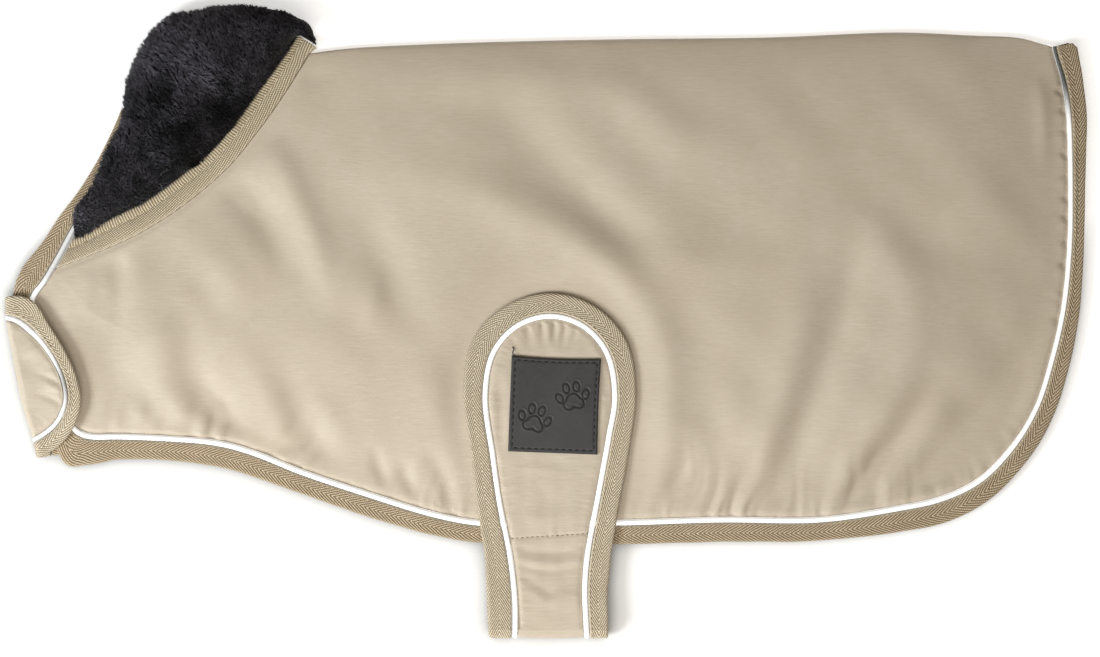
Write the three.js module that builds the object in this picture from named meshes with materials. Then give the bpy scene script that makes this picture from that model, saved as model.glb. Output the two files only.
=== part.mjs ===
// Dog raincoat with a plush collar, chest flap and belly strap, laid flat on its right side.
// Millimetres, +Z up. The head end is towards -X, the back fold towards +Y, and the coat
// rests on z = 0. The origin is under the middle of the whole laid-out coat.
import * as THREE from 'three';

// ---- driving dimensions -----------------------------------------------------------------
const GAP = 0.3;             // between sewn pieces, and between a piece and what it lies on
const RIM_GAP = 0.8;         // the same round a side, where curves meet as unequal flats
const CLOTH = 2.2;           // wall of the coat's two sides
const STRIP_CLOTH = 2.0;     // wall of the belly strap and the chest flap
const TAPE_FOLDED = 2.6;     // herringbone tape folded over a cloth edge
const NECK_TAPE = 2.8;
const PIPING_RADIUS = 1.5;
const LOWER_INSET = 1.5;     // the right side's edges lie this far inside the left side's

const UPPER_Z = 3.1;         // underside of the left side at its bound edge
const UPPER_PIPING_Z = 5.0;  // middle of the left side's piping
const DOME = 2.4;            // how far the left side lifts away from its bound edges
const DOME_REACH = 70;       // over this distance from them
const BACK_CURL = 4;         // width of the rounding where each side turns into the back seam
const BACK_SEAM_Z = 2.95;    // height of the seam along the back

const STRIP_DOWN = STRIP_CLOTH / 2;   // lowest and highest point of a bound strip about its
const STRIP_UP = 1.6;                 // middle surface: its tape and piping stand proud
const STRIP_PIPING_H = 0.3;
const PIPING_TOP = UPPER_PIPING_Z + PIPING_RADIUS * Math.sin(Math.PI / 3);
const STRIP_TOP_Z = PIPING_TOP + GAP + STRIP_DOWN;        // middle surface of the upper layer
const STRIP_LOW_Z = STRIP_UP;                             // and of the layer on the floor
const FOLD_RADIUS = (STRIP_TOP_Z - STRIP_LOW_Z) / 2;
const FOLD_OUTER = FOLD_RADIUS + STRIP_UP;
const FOLD_QUARTER = FOLD_RADIUS * Math.PI / 2;

const FAR_COLLAR = 10;       // thickness of the collar's lower half
const NEAR_COLLAR = 14;      // and of its upper half

const PATCH = { width: 49, height: 52.5, thickness: 1.4, x: 5.8, s: 128.6, turn: -0.038 };

// ---- tables -----------------------------------------------------------------------------
// Piping line round the left side, from the tail down the rear edge, along the hem and up the
// chest. Columns: x, y, width of the tape outside the line.
const LEFT_EDGE = [
  [280.6, 150.2, 8.0],
  [283.0, 143.7, 11.2],
  [285.6, 135.0, 10.4],
  [288.6, 115.0, 10.0],
  [289.8, 77.6, 8.1],
  [289.3, 41.3, 7.9],
  [286.0, 7.7, 8.8],
  [280.0, -19.3, 10.1],
  [271.2, -46.8, 10.4],
  [258.5, -68.0, 11.0],
  [240.0, -87.0, 11.8],
  [219.0, -97.3, 13.0],
  [193.0, -103.0, 12.8],
  [151.8, -108.9, 11.4],
  [96.8, -108.9, 12.2],
  [48.0, -110.4, 11.8],
  [3.3, -111.4, 11.2],
  [-36.3, -110.6, 11.0],
  [-60.0, -106.2, 11.2],
  [-102.9, -93.0, 11.6],
  [-133.1, -82.8, 11.2],
  [-161.7, -71.5, 12.4],
  [-181.0, -66.6, 12.8],
  [-208.5, -64.2, 11.9],
  [-236.0, -63.2, 12.6],
  [-247.0, -63.2, 14.6],
  [-255.5, -61.4, 17.5],
  [-263.5, -53.0, 13.0],
  [-270.5, -38.0, 10.2],
  [-275.6, -17.0, 9.6],
  [-280.0, 1.5, 9.8],
  [-281.6, 12.1, 10.8],
  [-279.6, 16.4, 13.0],
  [-275.6, 21.5, 14.4],
  [-266.8, 36.5, 12.0],
  [-258.3, 52.0, 10.4],
  [-247.2, 67.5, 10.0],
  [-238.2, 81.4, 10.4],
  [-231.2, 93.7, 10.8],
  [-222.6, 112.5, 11.0],
];
const LEFT_STEPS = 64;

// The right side's hem runs along the left side's, inset, down to this row of LEFT_EDGE, and
// then to the seam of the chest flap. Its chest edge follows the left side's from this row on.
const HEM_LAST_ROW = 23;
const CHEST_FIRST_ROW = 33;
const RIGHT_HEM_STEPS = 36;
const RIGHT_CHEST_STEPS = 10;

// Neck tape. Columns: x, y of its lower edge, and x, y of its upper edge, where the collar starts.
const NECK_TAPE_ROWS = [
  [-265.1, 30.5, -257.2, 46.0],
  [-251.9, 35.8, -253.0, 48.6],
  [-228.5, 45.9, -233.8, 59.4],
  [-212.9, 54.5, -219.5, 66.6],
  [-194.7, 67.1, -202.4, 78.7],
  [-172.9, 86.2, -182.3, 95.2],
  [-156.5, 106.4, -166.7, 114.1],
  [-143.9, 124.1, -154.0, 131.5],
  [-131.2, 140.5, -141.4, 148.0],
  [-125.7, 151.0, -135.9, 157.9],
];
const NAPE_AT = 0.975;       // share of the tape's length where its lower edge meets the back

// Fold line along the back, from the nape to the tail. Columns: x, y.
const BACK = [
  [-106.7, 150.7],
  [-51.7, 153.5],
  [36.3, 155.7],
  [124.3, 156.8],
  [195.8, 159.5],
  [234.3, 157.9],
  [262.0, 156.4],
  [275.2, 152.9],
];

// Sections of the collar's two halves, front tip to nape. Columns: share of the neck tape's
// length where the section starts, x and y of its outer edge, fullness. The upper half lies
// over the chest edge's tape, and the lower half stays inside its piping.
const COLLAR_UPPER_ROWS = [
  [0.01, -257.7, 53.9, 0.35],
  [0.05, -257.7, 60.5, 0.45],
  [0.10, -254.1, 67.7, 0.55],
  [0.16, -249.2, 74.0, 0.62],
  [0.22, -245.3, 82.0, 0.70],
  [0.28, -242.6, 90.8, 0.78],
  [0.34, -238.7, 100.1, 0.86],
  [0.40, -233.8, 107.8, 0.92],
  [0.45, -231.8, 117.2, 0.97],
  [0.50, -231.6, 126.0, 1.00],
  [0.55, -229.4, 135.3, 1.00],
  [0.61, -225.0, 146.3, 1.00],
  [0.67, -217.8, 158.4, 1.00],
  [0.73, -207.4, 167.8, 1.00],
  [0.79, -192.5, 171.6, 0.98],
  [0.85, -177.1, 174.4, 0.94],
  [0.90, -161.2, 174.1, 0.88],
  [0.94, -146.9, 171.9, 0.78],
  [0.97, -135.3, 168.6, 0.64],
  [0.99, -129.0, 163.6, 0.50],
];
const COLLAR_LOWER_ROWS = [
  [0.12, -243.5, 65.0, 0.35],
  [0.22, -234.0, 79.0, 0.55],
  [0.32, -226.5, 92.5, 0.70],
  [0.40, -217.8, 104.5, 0.85],
  [0.45, -222.5, 118.5, 0.97],
  [0.50, -229.0, 126.5, 1.00],
  [0.55, -227.6, 134.8, 1.00],
  [0.61, -223.4, 145.6, 1.00],
  [0.67, -216.4, 157.3, 1.00],
  [0.73, -206.4, 166.2, 1.00],
  [0.79, -192.0, 170.0, 0.98],
  [0.85, -177.0, 172.6, 0.94],
  [0.90, -161.6, 172.3, 0.88],
  [0.94, -147.8, 170.2, 0.78],
  [0.98, -133.5, 163.5, 0.60],
];
const OVER_CHEST_TAPE = 0.47;   // the upper half lies over the chest tape up to this share
const COLLAR_INSIDE = 1.0;      // room between the two halves, filled by their pile

// Piping line of the chest flap. Columns: distance from the fold (minus is the layer beneath),
// distance along the fold, width of the tape outside the line.
const FLAP_SEAM = -8.6;
const FLAP_EDGE = [
  [FLAP_SEAM, 31.0, 11.0],
  [-2.0, 31.0, 11.0],
  [5.4, 28.8, 12.4],
  [12.5, 19.1, 10.0],
  [20.2, 3.6, 8.2],
  [23.3, -9.3, 8.0],
  [22.3, -20.9, 8.8],
  [14.7, -31.6, 9.8],
  [3.0, -37.6, 10.2],
  [FLAP_SEAM, -39.0, 9.8],
];
const FLAP_STEPS = 18;
const FLAP_FOLD = { x: -288.3, y: -27.5, slant: 0.188 };   // fold line's middle and its slant

// Piping line of the belly strap. Columns: x, distance from the fold (minus is the layer
// beneath), width of the tape outside the line.
const STRAP_FOLD_Y = -174.1;
const STRAP_EDGE_LEFT = [
  [-17.0, -25.0, 13.2],
  [-16.0, 0.0, 13.5],
  [-16.0, 22.0, 13.6],
  [-18.7, 45.5, 12.9],
  [-24.7, 76.3, 11.4],
  [-28.2, 101.0, 11.4],
  [-32.3, 134.0, 11.8],
];
const STRAP_HEAD = { x: 3.3, s: 138.0, halfWidth: 35.7, height: 39.4, tape: 12.8 };
const STRAP_EDGE_RIGHT = [
  [38.9, 134.0, 11.6],
  [35.4, 110.0, 12.4],
  [29.8, 79.0, 12.2],
  [24.0, 47.0, 13.2],
  [22.4, 27.0, 12.8],
  [23.4, 0.0, 11.8],
  [22.5, -25.0, 12.0],
];
const STRAP_STEPS = 34;

// ---- small helpers ----------------------------------------------------------------------
const vec2 = (x, y) => new THREE.Vector2(x, y);
const vec3 = (x, y, z) => new THREE.Vector3(x, y, z);
const { lerp, smoothstep, clamp } = THREE.MathUtils;
const range = (count) => Array.from({ length: count }, (_, i) => i);

/** Smooth line through table rows of x, y and a third column. */
function smoothLine(rows) {
  const curve = new THREE.CatmullRomCurve3(rows.map((row) => vec3(...row)), false, 'centripetal');
  curve.arcLengthDivisions = 600;
  return curve;
}

/** Stations on a smooth line at shares of its length: a point, the way outward, the tape. */
function stationsAt(curve, shares) {
  return shares.map((share) => {
    const point = curve.getPointAt(share);
    const tangent = curve.getTangentAt(share);
    const out = vec2(-tangent.y, tangent.x).normalize();   // left of travel is outward
    return { at: vec2(point.x, point.y), out, tape: point.z };
  });
}

const stationsAlong = (rows, steps) => stationsAt(smoothLine(rows), range(steps + 1).map((i) => i / steps));

/**
 * Stations round a strip whose line goes up one side and comes down the other, with pairs of
 * opposite stations, and steps four times as fine where the axis named is within the fold.
 */
function stripStations(rows, steps, axis) {
  const curve = smoothLine(rows);
  const half = [0];
  for (const i of range(steps / 2)) {
    const middle = curve.getPointAt((i + 0.5) / steps)[axis];
    const parts = Math.abs(middle) < FOLD_QUARTER * 2 ? 4 : 1;
    for (const k of range(parts)) half.push((i + (k + 1) / parts) / steps);
  }
  return stationsAt(curve, [...half, ...half.slice(0, -1).reverse().map((share) => 1 - share)]);
}

/** A station's point moved outward (or inward, if minus). */
const moved = (station, distance) => station.at.clone().addScaledVector(station.out, distance);

/** Point at a share of the length of a chain of points. */
function alongChain(chain, share) {
  const lengths = [0];
  for (let i = 1; i < chain.length; i += 1) {
    lengths.push(lengths[i - 1] + chain[i].distanceTo(chain[i - 1]));
  }
  const target = clamp(share, 0, 1) * lengths.at(-1);
  const i = Math.max(1, lengths.findIndex((length) => length >= target - 1e-9));
  return chain[i - 1].clone().lerp(chain[i], (target - lengths[i - 1]) / (lengths[i] - lengths[i - 1]));
}

/** Distance from a point to a chain of points. */
function distanceToChain(point, chain) {
  let nearest = Infinity;
  for (let i = 1; i < chain.length; i += 1) {
    const side = chain[i].clone().sub(chain[i - 1]);
    const share = clamp(point.clone().sub(chain[i - 1]).dot(side) / side.lengthSq(), 0, 1);
    nearest = Math.min(nearest, chain[i - 1].clone().addScaledVector(side, share).distanceTo(point));
  }
  return nearest;
}

/** Closed geometry from points and triangles, turned so that its faces point outward. */
function closedGeometry(points, triangles) {
  const volume = triangles.reduce(
    (sum, [a, b, c]) => sum + points[a].dot(points[b].clone().cross(points[c])), 0);
  const faces = volume < 0 ? triangles.map(([a, b, c]) => [a, c, b]) : triangles;
  const geometry = new THREE.BufferGeometry().setFromPoints(points);
  geometry.setIndex(faces.flat());
  geometry.computeVertexNormals();
  return geometry;
}

/** Solid through rings with equal numbers of points, closed by a fan across each end ring. */
function ringSolid(rings) {
  const size = rings[0].length;
  const triangles = [];
  for (let r = 0; r + 1 < rings.length; r += 1) {
    for (let k = 0; k < size; k += 1) {
      const next = (k + 1) % size;
      const [a, b, c, d] = [r * size + k, r * size + next, (r + 1) * size + next, (r + 1) * size + k];
      triangles.push([a, b, c], [a, c, d]);
    }
  }
  const last = (rings.length - 1) * size;
  for (let k = 1; k + 1 < size; k += 1) {
    triangles.push([0, k + 1, k], [last, last + k, last + k + 1]);
  }
  return closedGeometry(rings.flat(), triangles);
}

/** Wall between two grids of points, each a list of columns, closed round its border. */
function wallSolid(outer, inner) {
  const columns = outer.length;
  const rows = outer[0].length;
  const offset = columns * rows;
  const id = (i, j) => i * rows + j;
  const triangles = [];
  for (let i = 0; i + 1 < columns; i += 1) {
    for (let j = 0; j + 1 < rows; j += 1) {
      const [a, b, c, d] = [id(i, j), id(i + 1, j), id(i + 1, j + 1), id(i, j + 1)];
      triangles.push([a, b, c], [a, c, d]);
      triangles.push([offset + a, offset + c, offset + b], [offset + a, offset + d, offset + c]);
    }
  }
  const border = [
    ...range(columns - 1).map((i) => [id(i + 1, 0), id(i, 0)]),
    ...range(rows - 1).map((j) => [id(columns - 1, j + 1), id(columns - 1, j)]),
    ...range(columns - 1).map((i) => [id(i, rows - 1), id(i + 1, rows - 1)]),
    ...range(rows - 1).map((j) => [id(0, j), id(0, j + 1)]),
  ];
  for (const [a, b] of border) triangles.push([a, b, offset + b], [a, offset + b, offset + a]);
  return closedGeometry([...outer.flat(), ...inner.flat()], triangles);
}

const flatPlace = (x, y, z) => vec3(x, y, z);

/** Folded tape outside a line of stations: six-sided, with a rounded outer edge. */
function tapeSolid(stations, bottom, thickness, place = flatPlace) {
  const inner = PIPING_RADIUS + GAP;
  const profile = [[0, 0], [0.93, 0], [1, 0.3], [1, 0.65], [0.9, 1], [0, 1]];
  return ringSolid(stations.map((station) => profile.map(([share, height]) => {
    const point = moved(station, lerp(inner, station.tape, share));
    return place(point.x, point.y, bottom + height * thickness);
  })));
}

/** Piping cord on a line of stations: six-sided. */
function pipingSolid(stations, middle, place = flatPlace) {
  return ringSolid(stations.map((station) => range(6).map((k) => {
    const angle = k * Math.PI / 3;
    const point = moved(station, PIPING_RADIUS * Math.cos(angle));
    return place(point.x, point.y, middle + PIPING_RADIUS * Math.sin(angle));
  })));
}

// ---- lines of the coat ------------------------------------------------------------------
const leftEdge = stationsAlong(LEFT_EDGE, LEFT_STEPS);

const insetRows = (rows) => {
  const fine = stationsAlong(rows, (rows.length - 1) * 2);
  return fine.map((station) => {
    const point = moved(station, -LOWER_INSET);
    return [point.x, point.y, station.tape];
  });
};

// The flap's fold line slants. Across it is the flap's own x, along it the flap's own y.
const flapAlong = vec2(1, FLAP_FOLD.slant).normalize();
const flapAcross = vec2(-flapAlong.y, flapAlong.x);
const onFlapAxes = (x, y) => vec2(FLAP_FOLD.x, FLAP_FOLD.y)
  .addScaledVector(flapAlong, x).addScaledVector(flapAcross, y);

// Seam between the right side and the chest flap, a little way in from the fold underneath.
const flapSeamX = FOLD_OUTER - FLAP_SEAM - FOLD_QUARTER + GAP;
const flapSeamLow = onFlapAxes(flapSeamX, -39);
const flapSeamRows = [onFlapAxes(flapSeamX + 12, -38.6), onFlapAxes(flapSeamX + 5, -39), flapSeamLow]
  .map((point) => [point.x, point.y, 9.8]);
const rightHem = stationsAlong(
  [...insetRows(LEFT_EDGE.slice(0, HEM_LAST_ROW + 1)), ...flapSeamRows], RIGHT_HEM_STEPS);
const rightChest = stationsAlong(insetRows(LEFT_EDGE.slice(CHEST_FIRST_ROW)), RIGHT_CHEST_STEPS);

const tapeChain = (xColumn) => {
  const rows = NECK_TAPE_ROWS.map((row) => vec3(row[xColumn], row[xColumn + 1], 0));
  return new THREE.CatmullRomCurve3(rows, false, 'centripetal').getPoints(60)
    .map((point) => vec2(point.x, point.y));
};
const tapeLower = tapeChain(0);
const tapeUpper = tapeChain(2);

/** Lower and upper edge of the neck tape at a share of its length, and the way across it. */
function neckAt(share) {
  const lower = alongChain(tapeLower, share);
  const upper = alongChain(tapeUpper, share);
  return { lower, upper, up: upper.clone().sub(lower).normalize() };
}

const neckChain = range(25).map((i) => {
  const { lower, up } = neckAt(lerp(0, NAPE_AT, i / 24));
  return lower.addScaledVector(up, -RIM_GAP);
});
const backChain = new THREE.CatmullRomCurve3(
  [vec3(neckChain.at(-1).x, neckChain.at(-1).y, 0), ...BACK.map(([x, y]) => vec3(x, y, 0))],
  false, 'centripetal').getPoints(90).map((point) => vec2(point.x, point.y));

const panelInset = -(PIPING_RADIUS + RIM_GAP);
const leftRim = leftEdge.map((station) => moved(station, panelInset));
const boundEdges = [leftRim, neckChain];

/** How far the left side lifts at a point: nothing on its bound edges, DOME well away from them. */
function domeAt(point) {
  const distance = Math.min(...boundEdges.map((chain) => distanceToChain(point, chain)));
  return DOME * smoothstep(distance, 0, DOME_REACH);
}

// ---- the two sides ----------------------------------------------------------------------
// Each side is a grid of columns from its hem chain up to its neck and back chain. The columns
// are spread over three stretches, whose ends are shares of the two chains' lengths.
const COLUMN_STRETCHES = [
  { columns: 12, hem: [0.0, 0.32], top: 'neck' },
  { columns: 17, hem: [0.32, 0.735], top: 'back', span: [0.0, 0.885] },
  { columns: 8, hem: [0.735, 1.0], top: 'back', span: [0.885, 0.998] },
];
const CURL_ANGLES = [30, 60, 90].map(THREE.MathUtils.degToRad);

/** Columns of a side: its lower end, its upper end, and 1 where the top is the back seam. */
function sideColumns(hemChain, firstNeckShare) {
  const neck = neckChain.slice(Math.round(firstNeckShare * (neckChain.length - 1)));
  return COLUMN_STRETCHES.flatMap(({ columns, hem, top, span = [0, 1] }, n) => {
    const chain = top === 'neck' ? neck : backChain;
    return range(columns + (n === 0 ? 1 : 0)).map((i) => {
      const share = (i + (n === 0 ? 0 : 1)) / columns;
      return {
        low: alongChain(hemChain, lerp(...hem, share)),
        high: alongChain(chain, lerp(...span, share)),
        curl: top === 'back' ? 1 : 0,
      };
    });
  });
}

/** One side of the coat. surfaceAt gives the outer and inner height of its cloth at a point. */
function sideSolid(columns, rows, surfaceAt) {
  const outer = [];
  const inner = [];
  for (const { low, high, curl } of columns) {
    const direction = high.clone().sub(low).normalize();
    const curlWidth = Math.min(BACK_CURL, 0.45 * high.distanceTo(low));
    const edge = high.clone().addScaledVector(direction, -curlWidth);
    const outerColumn = [];
    const innerColumn = [];
    for (const j of range(rows + 1)) {
      const point = low.clone().lerp(edge, j / rows);
      const surface = surfaceAt(point);
      outerColumn.push(vec3(point.x, point.y, surface.outer));
      innerColumn.push(vec3(point.x, point.y, surface.inner));
    }
    const surface = surfaceAt(edge);
    for (const angle of CURL_ANGLES) {
      const reach = [curlWidth, lerp(curlWidth, 0.45 * curlWidth, curl)];
      const [a, b] = reach.map((width) => edge.clone().addScaledVector(direction, width * Math.sin(angle)));
      const turned = (height) => lerp(height, lerp(surface.seam, height, Math.cos(angle)), curl);
      outerColumn.push(vec3(a.x, a.y, turned(surface.outer)));
      innerColumn.push(vec3(b.x, b.y, turned(surface.inner)));
    }
    outer.push(outerColumn);
    inner.push(innerColumn);
  }
  return wallSolid(outer, inner);
}

const leftSurface = (point) => {
  const lift = domeAt(point);
  return {
    outer: UPPER_Z + CLOTH + lift, inner: UPPER_Z + lift, seam: BACK_SEAM_Z + GAP / 2,
  };
};
const rightSurface = () => ({ outer: 0, inner: CLOTH, seam: BACK_SEAM_Z - GAP / 2 });

const fromChest = (stations) => stations.map((station) => moved(station, panelInset)).reverse();
// The chest edge runs on past the neck tape; the side starts where the tape's end meets it.
const besideTape = (chain) => {
  const start = neckChain[0];
  const nearest = chain.reduce(
    (best, point, i) => (point.distanceTo(start) < chain[best].distanceTo(start) ? i : best), 0);
  return chain.slice(nearest + 1);
};
const leftHemChain = besideTape(fromChest(leftEdge));
const rightHemChain = [
  ...besideTape(fromChest(rightChest)),
  onFlapAxes(flapSeamX, 41),
  onFlapAxes(flapSeamX, -37),
  ...fromChest(rightHem).slice(1),
];

// ---- collar and neck tape ---------------------------------------------------------------
/** Neck tape from a share of its length on: flat below, with a raised upper lip. */
function neckTapeSolid(firstShare, bottom, lip) {
  const steps = 18;
  const profile = [[0, 0], [1, 0], [1, 0.75 + lip], [0.72, 1 + lip], [0.6, 0.85], [0, 0.8]];
  return ringSolid(range(steps + 1).map((i) => {
    const { lower, upper } = neckAt(lerp(firstShare, 1, i / steps));
    return profile.map(([share, height]) => {
      const point = lower.clone().lerp(upper, share);
      return vec3(point.x, point.y, bottom + height * NECK_TAPE);
    });
  }));
}

// Collar section: share across from the tape to the outer edge, height of the face between the
// two halves, and height of the upper face above it, both as shares of the full thicknesses.
const COLLAR_PROFILE = [
  [0.0, 0.27, 0.30],
  [0.1, 0.45, 0.72],
  [0.3, 0.85, 0.98],
  [0.55, 1.0, 1.0],
  [0.8, 0.85, 0.80],
  [0.94, 0.62, 0.45],
  [1.0, 0.45, 0.12],
];

/** One half of the collar, from sections that start on the neck tape's upper edge. */
function collarSolid(rows, isUpper) {
  return ringSolid(rows.map(([share, x, y, fullness]) => {
    const { upper, up } = neckAt(share);
    const start = upper.addScaledVector(up, GAP);
    const end = vec2(x, y);
    const point = (across, z) => {
      const place = start.clone().lerp(end, across);
      return vec3(place.x, place.y, z);
    };
    const lowerTop = (height) => lerp(UPPER_Z - GAP, FAR_COLLAR, fullness * (height - 0.27) / 0.73);
    if (!isUpper) {
      const top = COLLAR_PROFILE.map(([across, height]) => point(across, lowerTop(height)));
      return [...top, point(0.96, 0), point(0.02, 0)];
    }
    const floor = share < OVER_CHEST_TAPE ? PIPING_TOP + GAP : UPPER_Z;
    const underside = (height) => Math.max(floor, lowerTop(height) + GAP + COLLAR_INSIDE);
    const bottom = COLLAR_PROFILE.map(([across, height]) => point(across, underside(height)));
    const top = COLLAR_PROFILE.map(([across, height, crown]) => point(
      across, underside(height) + 1 + crown * NEAR_COLLAR * fullness));
    return [...bottom, ...top.reverse()];
  }));
}

// ---- strips that fold over the coat's edge ----------------------------------------------
/** Height that a strip lying on the left side gains over its level at the bound edge. */
const liftOnCoat = (point) => Math.max(0, domeAt(point) - (PIPING_TOP - UPPER_Z - CLOTH));

/**
 * Place of a strip's point, from s, its distance along the strip from the middle of the fold
 * (plus on the upper layer), its distance across, and h, its height above the middle surface.
 * The strip runs along the floor, turns up round FOLD_RADIUS and comes back over the coat.
 */
function foldedPlace(s, across, h, toPlan) {
  const turn = clamp(s / FOLD_RADIUS, -Math.PI / 2, Math.PI / 2);
  const run = Math.max(0, Math.abs(s) - FOLD_QUARTER);
  const inward = FOLD_OUTER + run - (FOLD_RADIUS + h) * Math.cos(turn);
  const plan = toPlan(inward, across);
  const level = STRIP_LOW_Z + FOLD_RADIUS + (FOLD_RADIUS + h) * Math.sin(turn);
  return vec3(plan.x, plan.y, level + (s > FOLD_QUARTER ? liftOnCoat(plan) : 0));
}

const placeOnFlap = (s, t, h) => foldedPlace(s, t, h, onFlapAxes);
const placeOnStrap = (x, s, h) => foldedPlace(s, x, h, (inward, across) => vec2(across, STRAP_FOLD_Y + inward));

/** Cloth of a strip: a wall between pairs of points on either side of its piping line. */
function stripCloth(pairs, rows, place) {
  const layer = (h) => pairs.map(([a, b]) => range(rows + 1).map((j) => {
    const point = a.clone().lerp(b, j / rows);
    return place(point.x, point.y, h);
  }));
  return wallSolid(layer(STRIP_CLOTH / 2), layer(-STRIP_CLOTH / 2));
}

/** Pairs of opposite points inside a piping line, as the line goes up one side and down the other. */
function clothPairs(stations) {
  const inside = stations.map((station) => moved(station, panelInset));
  const count = Math.floor(inside.length / 2);
  return range(count).map((i) => [inside[i], inside[inside.length - 1 - i]]);
}

const flapEdge = stripStations(FLAP_EDGE, FLAP_STEPS, 'x');

// The strap is sewn on underneath, just outside the tape of the right side's hem.
const hemUnderStrap = rightHem.map((station) => moved(station, station.tape))
  .filter((point) => Math.abs(point.x) < 60);
const strapSeamY = Math.min(...hemUnderStrap.map((point) => point.y)) - GAP;
const strapSeam = -(strapSeamY - STRAP_FOLD_Y - FOLD_OUTER + FOLD_QUARTER);
const strapHeadRows = [150, 120, 90, 60, 30].map((degrees) => {
  const angle = THREE.MathUtils.degToRad(degrees);
  const { x, s, halfWidth, height, tape } = STRAP_HEAD;
  return [x + halfWidth * Math.cos(angle), s + height * Math.sin(angle), tape];
});
const strapEdge = stripStations([
  [-18.0, strapSeam, 12.8],
  ...STRAP_EDGE_LEFT,
  ...strapHeadRows,
  ...STRAP_EDGE_RIGHT,
  [21.5, strapSeam, 12.2],
], STRAP_STEPS, 'y');

/** Patch: a thin plate, a little turned, lying on the strap's upper layer. */
function patchSolid() {
  const { width, height, thickness, x, s, turn } = PATCH;
  const steps = 5;
  const layer = (h) => range(steps + 1).map((i) => range(steps + 1).map((j) => {
    const corner = vec2((i / steps - 0.5) * width, (j / steps - 0.5) * height);
    corner.rotateAround(vec2(0, 0), turn);
    return placeOnStrap(x + corner.x, s + corner.y, h);
  }));
  const bottom = STRIP_CLOTH / 2 + GAP;
  return wallSolid(layer(bottom + thickness), layer(bottom));
}

// ---- finishes and pieces ----------------------------------------------------------------
const finish = (color, roughness) => new THREE.MeshStandardMaterial({ color, roughness, metalness: 0 });
const FINISHES = {
  shell: finish(0xcabda8, 0.55),
  tape: finish(0xae997c, 0.85),
  piping: finish(0xf4f4f2, 0.5),
  plush: finish(0x1d1d20, 0.95),
  patch: finish(0x4a494c, 0.6),
};

const coat = new THREE.Group();

function addPiece(name, geometry, slot) {
  const mesh = new THREE.Mesh(geometry, FINISHES[slot]);
  mesh.name = name;
  coat.add(mesh);
}

const LOWER_PIPING_Z = PIPING_RADIUS * Math.sin(Math.PI / 3);
const FAR_TAPE_START = 0.07;

addPiece('right_side', sideSolid(sideColumns(rightHemChain, FAR_TAPE_START), 3, rightSurface), 'shell');
addPiece('hem_binding_right', tapeSolid(rightHem, 0, TAPE_FOLDED), 'tape');
addPiece('hem_piping_right', pipingSolid(rightHem, LOWER_PIPING_Z), 'piping');
addPiece('chest_binding_right', tapeSolid(rightChest, 0, TAPE_FOLDED), 'tape');
addPiece('chest_piping_right', pipingSolid(rightChest, LOWER_PIPING_Z), 'piping');
addPiece('neck_tape_right', neckTapeSolid(FAR_TAPE_START, 0, -0.07), 'tape');
addPiece('collar_right', collarSolid(COLLAR_LOWER_ROWS, false), 'plush');

addPiece('left_side', sideSolid(sideColumns(leftHemChain, 0), 8, leftSurface), 'shell');
addPiece('edge_binding_left', tapeSolid(leftEdge, UPPER_Z, TAPE_FOLDED), 'tape');
addPiece('edge_piping_left', pipingSolid(leftEdge, UPPER_PIPING_Z), 'piping');
addPiece('neck_tape_left', neckTapeSolid(0, UPPER_Z, 0.1), 'tape');
addPiece('collar_left', collarSolid(COLLAR_UPPER_ROWS, true), 'plush');

addPiece('chest_flap', stripCloth(clothPairs(flapEdge), 5, placeOnFlap), 'shell');
addPiece('chest_flap_binding', tapeSolid(flapEdge, -STRIP_DOWN, TAPE_FOLDED, placeOnFlap), 'tape');
addPiece('chest_flap_piping', pipingSolid(flapEdge, STRIP_PIPING_H, placeOnFlap), 'piping');

addPiece('belly_strap', stripCloth(clothPairs(strapEdge), 6, placeOnStrap), 'shell');
addPiece('belly_strap_binding', tapeSolid(strapEdge, -STRIP_DOWN, TAPE_FOLDED, placeOnStrap), 'tape');
addPiece('belly_strap_piping', pipingSolid(strapEdge, STRIP_PIPING_H, placeOnStrap), 'piping');
addPiece('strap_patch', patchSolid(), 'patch');

export default coat;
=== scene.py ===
"""Dog raincoat: satin shell, plush collar, bound and piped edges, chest flap and belly strap.

Tables and lengths are in millimetres on the frame's axes, and MM turns them into metres.
The head end is towards -X, the fold along the back towards +Y, and the coat lies on z = 0.
"""

import bpy
import numpy as np
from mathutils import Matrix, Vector


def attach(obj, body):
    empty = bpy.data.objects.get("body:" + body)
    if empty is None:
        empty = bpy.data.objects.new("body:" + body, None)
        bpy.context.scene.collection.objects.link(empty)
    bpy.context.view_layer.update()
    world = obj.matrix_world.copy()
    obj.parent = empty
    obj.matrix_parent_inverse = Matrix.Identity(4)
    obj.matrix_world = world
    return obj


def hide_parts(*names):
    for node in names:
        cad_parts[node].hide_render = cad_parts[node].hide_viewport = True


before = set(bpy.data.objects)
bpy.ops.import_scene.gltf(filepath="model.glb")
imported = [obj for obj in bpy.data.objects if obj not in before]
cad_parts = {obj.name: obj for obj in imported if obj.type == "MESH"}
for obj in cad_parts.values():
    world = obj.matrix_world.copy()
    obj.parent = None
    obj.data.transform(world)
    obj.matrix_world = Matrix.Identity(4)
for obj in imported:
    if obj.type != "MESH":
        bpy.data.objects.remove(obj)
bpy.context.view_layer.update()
MM = 0.001

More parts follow.
